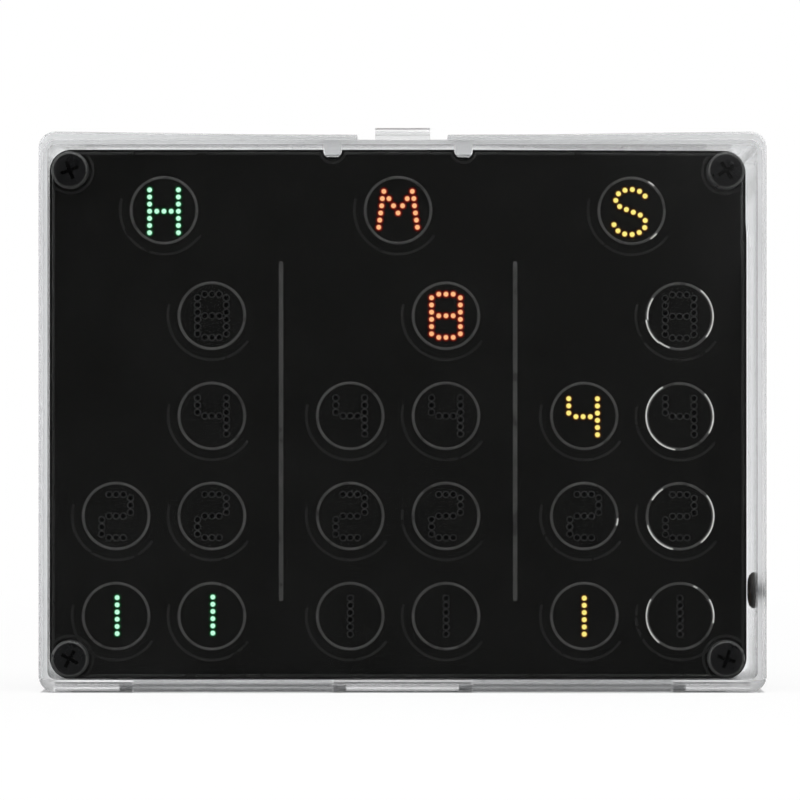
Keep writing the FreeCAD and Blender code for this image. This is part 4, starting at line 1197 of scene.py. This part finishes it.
def make_button(number):
    """A push switch with a riveted metal plate and four legs, and its round stem."""
    low, high, middle = place_of("button_%d_base" % number)
    refined("button_%d_base" % number, BUTTON_BLACK, 0.12)
    plate = bmesh.new()
    block(plate, (low.x - 0.03, high.y - 0.28, low.z - 0.03),
          (high.x + 0.03, high.y + 0.03, high.z + 0.03), 0.08)
    cutter = bmesh.new()
    rod(cutter, (middle.x, high.y - 1, middle.z), (middle.x, high.y + 1, middle.z), 2.05, 32)
    plate = cut_away(plate, cutter)
    for side_x, side_z in CORNERS:
        x, z = middle.x + 3.08 * side_x, middle.z + 2.25 * side_z
        block(plate, (x - 0.15, BOARD_BACK - 0.02, z - 0.35),
              (x + 0.15, BOARD_BACK + 1.4, z + 0.35), 0.05)
    finish_metal(plate, "button_%d_plate" % number, SPRING_METAL)
    rivets = bmesh.new()
    for side_x, side_z in CORNERS:
        lathe(rivets, [(0, 0.3), (0.25, 0.27), (0.42, 0.14), (0.46, 0.0), (0, 0.0)],
              facing_back(middle.x + 2.3 * side_x, high.y, middle.z + 2.3 * side_z), 16)
    finish_piece(rivets, "button_%d_rivets" % number, [BUTTON_BLACK],
                 smooth_below=60)
    node = "button_%d_stem" % number
    low, high, middle = place_of(node)
    long = high.y - low.y
    stem = turned([(0, 0), (1.6, 0), (1.69, 0.1), (1.69, long - 0.35), (1.6, long - 0.1),
                   (1.35, long), (0.9, long), (0.75, long - 0.08), (0, long - 0.12)],
            facing_back(middle.x, low.y, middle.z), 48)
    finish_piece(stem, node + "_finished", [STEM_BLACK], "button_%d" % number, [node],
                 smooth_below=50)


def strip(bm, start, end, width, rise):
    """A flat line on the board's back between two (x, z) places, with round ends."""
    start, end = Vector(start), Vector(end)
    way = end - start
    place = (Matrix.Translation(((start.x + end.x) / 2, BOARD_BACK + rise / 2 - 0.01,
                                 (start.y + end.y) / 2))
             @ Matrix.Rotation(-math.atan2(way.y, way.x), 4, "Y")
             @ Matrix.Diagonal((way.length, rise + 0.02, width, 1)))
    bmesh.ops.create_cube(bm, size=1, matrix=place)
    for spot in (start, end):
        rod(bm, (spot.x, BOARD_BACK - 0.02, spot.y), (spot.x, BOARD_BACK + rise, spot.y),
            width / 2, 10)


def track(bm, places, width, rise=0.04):
    for start, end in zip(places, places[1:]):
        strip(bm, start, end, width, rise)


def make_tracks():
    """Copper tracks under the lacquer: a row line along each line of lamps, and fans from the
    controller and the resistors."""
    bm = bmesh.new()
    rows = {}
    for lamp in LAMPS:
        middle = centre_mm(lamp)
        rows.setdefault(round(middle.z, 2), []).append(middle.x)
    for z, places in rows.items():
        line = z - 2.4
        track(bm, [(min(places) + HALF_PITCH, line), (max(places) + HALF_PITCH, line)], 0.6)
        for x in places:
            track(bm, [(x + HALF_PITCH, z), (x + HALF_PITCH, line)], 0.6)
    middle = centre_mm("controller_chip")
    for index in range(14):
        x = middle.x + (index - 6.5) * PIN_PITCH
        step = 0.7 * (index - 6.5)
        low_turn = middle.z - 5.4
        track(bm, [(x, middle.z - PIN_ROW), (x, low_turn), (x - step, low_turn - abs(step)),
                   (x - step, 35.6)], 0.4)
        high_turn = middle.z + 5.4
        if index % 2:
            track(bm, [(x, middle.z + PIN_ROW), (x, high_turn),
                       (x - step * 0.6, high_turn + abs(step) * 0.6),
                       (x - step * 0.6, 62.0)], 0.4)
    for number in (1, 2, 3, 4):
        middle = centre_mm("series_resistor_%d" % number)
        top = middle.z + LEAD_REACH
        track(bm, [(middle.x, top), (middle.x, 30.2), (middle.x + 1.4, 31.6)], 0.5)
        track(bm, [(middle.x, middle.z - LEAD_REACH), (middle.x, 14.6),
                   (middle.x - 1.2, 13.4)], 0.5)
    finish_piece(bm, "board_tracks", [BOARD_TRACK])


def make_outlines():
    """White part outlines on the board, without words."""
    bm = bmesh.new()

    def frame_round(node, gap=0.45):
        low, high = box_mm(node)
        low_x, high_x = low.x - gap, high.x + gap
        low_z, high_z = low.z - gap, high.z + gap
        track(bm, [(low_x, low_z), (high_x, low_z), (high_x, high_z), (low_x, high_z),
                   (low_x, low_z)], 0.18, 0.025)

    for node in ("controller_socket", "clock_socket", "cell_holder", "power_header",
                 "programming_header", "ceramic_capacitor_1", "ceramic_capacitor_2",
                 "watch_crystal", "button_1_base", "button_2_base", "button_3_base"):
        frame_round(node)
    for node, gap in (("buzzer", 0.35), ("supply_capacitor", 0.35)):
        low, high, middle = place_of(node)
        radius = (high.x - low.x) / 2 + gap
        lathe(bm, [(radius, -0.02), (radius, 0.025), (radius + 0.18, 0.025),
                   (radius + 0.18, -0.02)], facing_back(middle.x, BOARD_BACK, middle.z), 72,
              closed=True)
    for number in (1, 2, 3):
        low, high = box_mm("driver_transistor_%d" % number)
        x, z, reach = (low.x + high.x) / 2, high.z - HEAD_RADIUS, 2.75
        turns = [math.radians(turn) for turn in range(-36, 217, 14)]
        spots = [(x + reach * math.cos(turn), z + reach * math.sin(turn)) for turn in turns]
        track(bm, spots + [spots[0]], 0.18, 0.025)
    for number in (1, 2, 3, 4):
        frame_round("series_resistor_%d" % number, 0.35)
    finish_piece(bm, "board_outlines", [BOARD_INK])


def make_corner_lands():
    """Bare plated rings under the rear spacers."""
    low, high = box_mm("rear_spacers")
    reach = 2.9
    bm = bmesh.new()
    for x in (low.x + reach, high.x - reach):
        for z in (low.z + 2.5, high.z - 2.5):
            lathe(bm, [(1.7, -0.02), (1.7, 0.04), (3.1, 0.04), (3.2, -0.02)],
                  facing_back(x, BOARD_BACK, z), 48, closed=True)
    cut_flat(bm, (board_low.x + 0.05, 0, 0), (-1, 0, 0))
    cut_flat(bm, (board_high.x - 0.05, 0, 0), (1, 0, 0))
    cut_flat(bm, (0, 0, board_low.z + 0.05), (0, 0, -1))
    cut_flat(bm, (0, 0, board_high.z - 0.05), (0, 0, 1))
    finish_metal(bm, "board_corner_lands", SOLDER)


for node, material, slot, round_edge in (
        ("front_spacers", SPACER_NICKEL, "spacer_nickel", 0.06),
        ("rear_spacers", SPACER_NICKEL, "spacer_nickel", 0.06),
        ("main_board", BOARD_BLACK, "board_black", 0.05),
        ("controller_socket", SOCKET_BLACK, "component_black", 0.08),
        ("clock_socket", SOCKET_BLACK, "component_black", 0.08),
        ("cell_holder", CELL_HOLDER_BLACK, "component_black", 0.15),
        ("cell_clip", SPRING_METAL, "bright_metal", 0.08)):
    refined(node, material, round_edge)
for node, (socket, pins) in CHIPS.items():
    make_chip(node, socket, pins)
make_crystal()
make_coin_cell()
make_clip_details()
make_buzzer()
for number in (1, 2, 3):
    make_transistor("driver_transistor_%d" % number)
    make_button(number)
for number in (1, 2, 3, 4):
    make_resistor("series_resistor_%d" % number)
for number in (1, 2):
    make_disc_capacitor("ceramic_capacitor_%d" % number)
make_can_capacitor()
make_header("power_header", HEADER_CREAM, BOARD_BACK + 1.65,
            (-HALF_PITCH, HALF_PITCH))
make_header("programming_header", SOCKET_BLACK, BOARD_BACK + 2.55,
            (-3.81, -1.27, 1.27, 3.81))
make_tracks()
make_outlines()
make_corner_lands()


def make_grommet():
    """Soft ring with a domed inner lip, open for the cable."""
    low, high, middle = place_of("cable_grommet")
    lip = 1.0
    profile = [(0.6, 0.15), (0.85, 0.0), (1.5, 0.03), (2.1, 0.22), (2.45, 0.55), (2.55, lip - 0.1),
               (2.5, lip), (1.05, lip), (1.05, high.x - low.x - 0.02), (0.6, high.x - low.x - 0.02)]
    bm = bmesh.new()
    place = Matrix.Translation((low.x, middle.y, middle.z)) @ Matrix.Rotation(math.pi / 2, 4, "Y")
    lathe(bm, profile, place, 40, closed=True)
    finish_piece(bm, "cable_grommet_ring", [GROMMET_RUBBER], replaces=["cable_grommet"],
                 smooth_below=50)


make_grommet()


# ---------------------------------------------------------------- stage, lamps and camera

FRONT_ROOM = 0.02
FLOOR_LEVEL = -0.00004
FLOOR_COLOUR = (0.9, 0.9, 0.9, 1)
# Under the box the floor gives no light: half the box's width and depth, in metres.
HIDDEN_HALF_WIDTH = 0.0502
HIDDEN_HALF_DEPTH = 0.0146
# The camera looks level at this height, from this far in front of the panel.
CAMERA_HEIGHT = 40.48 * MM
CAMERA_ACROSS = -0.361 * MM
CAMERA_DISTANCE = 0.9


def make_floor():
    """Pale floor that keeps its shadow under and round the clock, and is dim in plain
    reflections on the viewer's side."""
    bm = bmesh.new()
    bmesh.ops.create_grid(bm, x_segments=1, y_segments=1, size=6,
                          matrix=Matrix.Translation((0, 0, FLOOR_LEVEL)))
    floor = as_object(bm, "floor")
    material = bpy.data.materials.new("pale_floor")
    material.use_nodes = True
    tree = material.node_tree
    shader = tree.nodes["Principled BSDF"]
    for key, value in (("Base Color", FLOOR_COLOUR), ("Roughness", 0.9),
                       ("Specular IOR Level", 0.0)):
        shader.inputs[key].default_value = value
    rays = add_node(tree, "LightPath").outputs
    place = add_node(tree, "TexCoord").outputs["Object"]
    parts = add_node(tree, "SeparateXYZ", {"Vector": place}).outputs
    away = add_node(tree, "VectorMath", {0: place}, operation="LENGTH").outputs["Value"]
    near_white = ramp(tree, away, 0.15, 0.45, 0.86, 1.0)
    in_front = ramp(tree, parts["Y"], -0.03, 0.03, FRONT_ROOM, 0.9)
    beside = calc(tree, "GREATER_THAN", calc(tree, "ABSOLUTE", parts["X"]), HIDDEN_HALF_WIDTH)
    behind = calc(tree, "GREATER_THAN", calc(tree, "ABSOLUTE", parts["Y"]), HIDDEN_HALF_DEPTH)
    outside = calc(tree, "MAXIMUM", beside, behind)
    once = calc(tree, "COMPARE", rays["Glossy Depth"], 1.0, 0.5)
    mirrored_ray = calc(tree, "MINIMUM", rays["Glossy Depth"], 1.0)
    white = add_node(tree, "Emission", {"Color": (1, 1, 1, 1),
                                        "Strength": either(tree, once, 1.0, in_front)})
    opaque = calc(tree, "MAXIMUM", mirrored_ray, near_white)
    seen = calc(tree, "SUBTRACT", 1.0, rays["Diffuse Depth"], use_clamp=True)
    share = calc(tree, "MULTIPLY", seen, calc(tree, "MULTIPLY", opaque, outside))
    mix = add_node(tree, "MixShader", {0: share, 1: shader.outputs["BSDF"],
                                       2: white.outputs["Emission"]})
    feed(tree, tree.nodes["Material Output"].inputs["Surface"], mix.outputs["Shader"])
    floor.data.materials.append(material)


def make_world():
    """White where it is seen directly or through clear plastic, and a dim room behind the
    viewer for reflections."""
    world = bpy.data.worlds.new("studio")
    bpy.context.scene.world = world
    world.use_nodes = True
    tree = world.node_tree
    rays = add_node(tree, "LightPath").outputs
    way = add_node(tree, "TexCoord").outputs["Generated"]
    parts = add_node(tree, "SeparateXYZ", {"Vector": way}).outputs
    backward = ramp(tree, parts["Y"], -0.97, -0.4, 0.0, 0.87, interpolation_type="SMOOTHSTEP")
    side = ramp(tree, parts["X"], -0.07, 0.07, 0.006, 0.03)
    once = calc(tree, "COMPARE", rays["Glossy Depth"], 1.0, 0.5)
    reflection = either(tree, once, 1.0, calc(tree, "ADD", backward, side))
    spread = calc(tree, "MINIMUM", rays["Diffuse Depth"], 1.0)
    background = tree.nodes["Background"]
    feed(tree, background.inputs["Strength"], either(tree, spread, reflection, 0.72))
    background.inputs["Color"].default_value = (1, 1, 1, 1)


def add_lamp(name, place, target, size, power, colour=(1, 1, 1)):
    light = bpy.data.lights.new(name, "AREA")
    light.shape = "SQUARE"
    light.size = size
    light.energy = power
    light.color = colour
    lamp = bpy.data.objects.new(name, light)
    bpy.context.scene.collection.objects.link(lamp)
    lamp.location = place
    lamp.rotation_euler = (Vector(target) - Vector(place)).to_track_quat("-Z", "Y").to_euler()


def make_camera():
    """Straight on to the panel, at the height of its middle."""
    camera = bpy.data.objects.new("camera", bpy.data.cameras.new("camera"))
    bpy.context.scene.collection.objects.link(camera)
    camera.data.sensor_width = 36.0
    camera.data.lens = 291.6
    camera.data.clip_start = 0.01
    camera.data.clip_end = 50.0
    camera.location = (CAMERA_ACROSS, PANEL_FACE * MM - CAMERA_DISTANCE, CAMERA_HEIGHT)
    camera.rotation_euler = (math.pi / 2, 0, 0)
    bpy.context.scene.camera = camera


make_floor()
make_world()
add_lamp("overhead", (0.1, -0.35, 0.9), (0, 0, 0.04), 0.6, 3.5)
add_lamp("left_side", (-0.7, -0.4, 0.35), (0, 0, 0.04), 0.4, 1.2)
add_lamp("right_glint", (0.15, -0.13, 0.0), (0.04, 0, 0.03), 0.02, 0.012, (1.0, 0.93, 0.8))
make_camera()
bpy.context.scene.view_settings.view_transform = "Standard"
# Light runs a long way inside clear walls before it comes out.
bpy.context.scene.cycles.max_bounces = 32
bpy.context.scene.cycles.glossy_bounces = 24
bpy.context.scene.cycles.transmission_bounces = 32
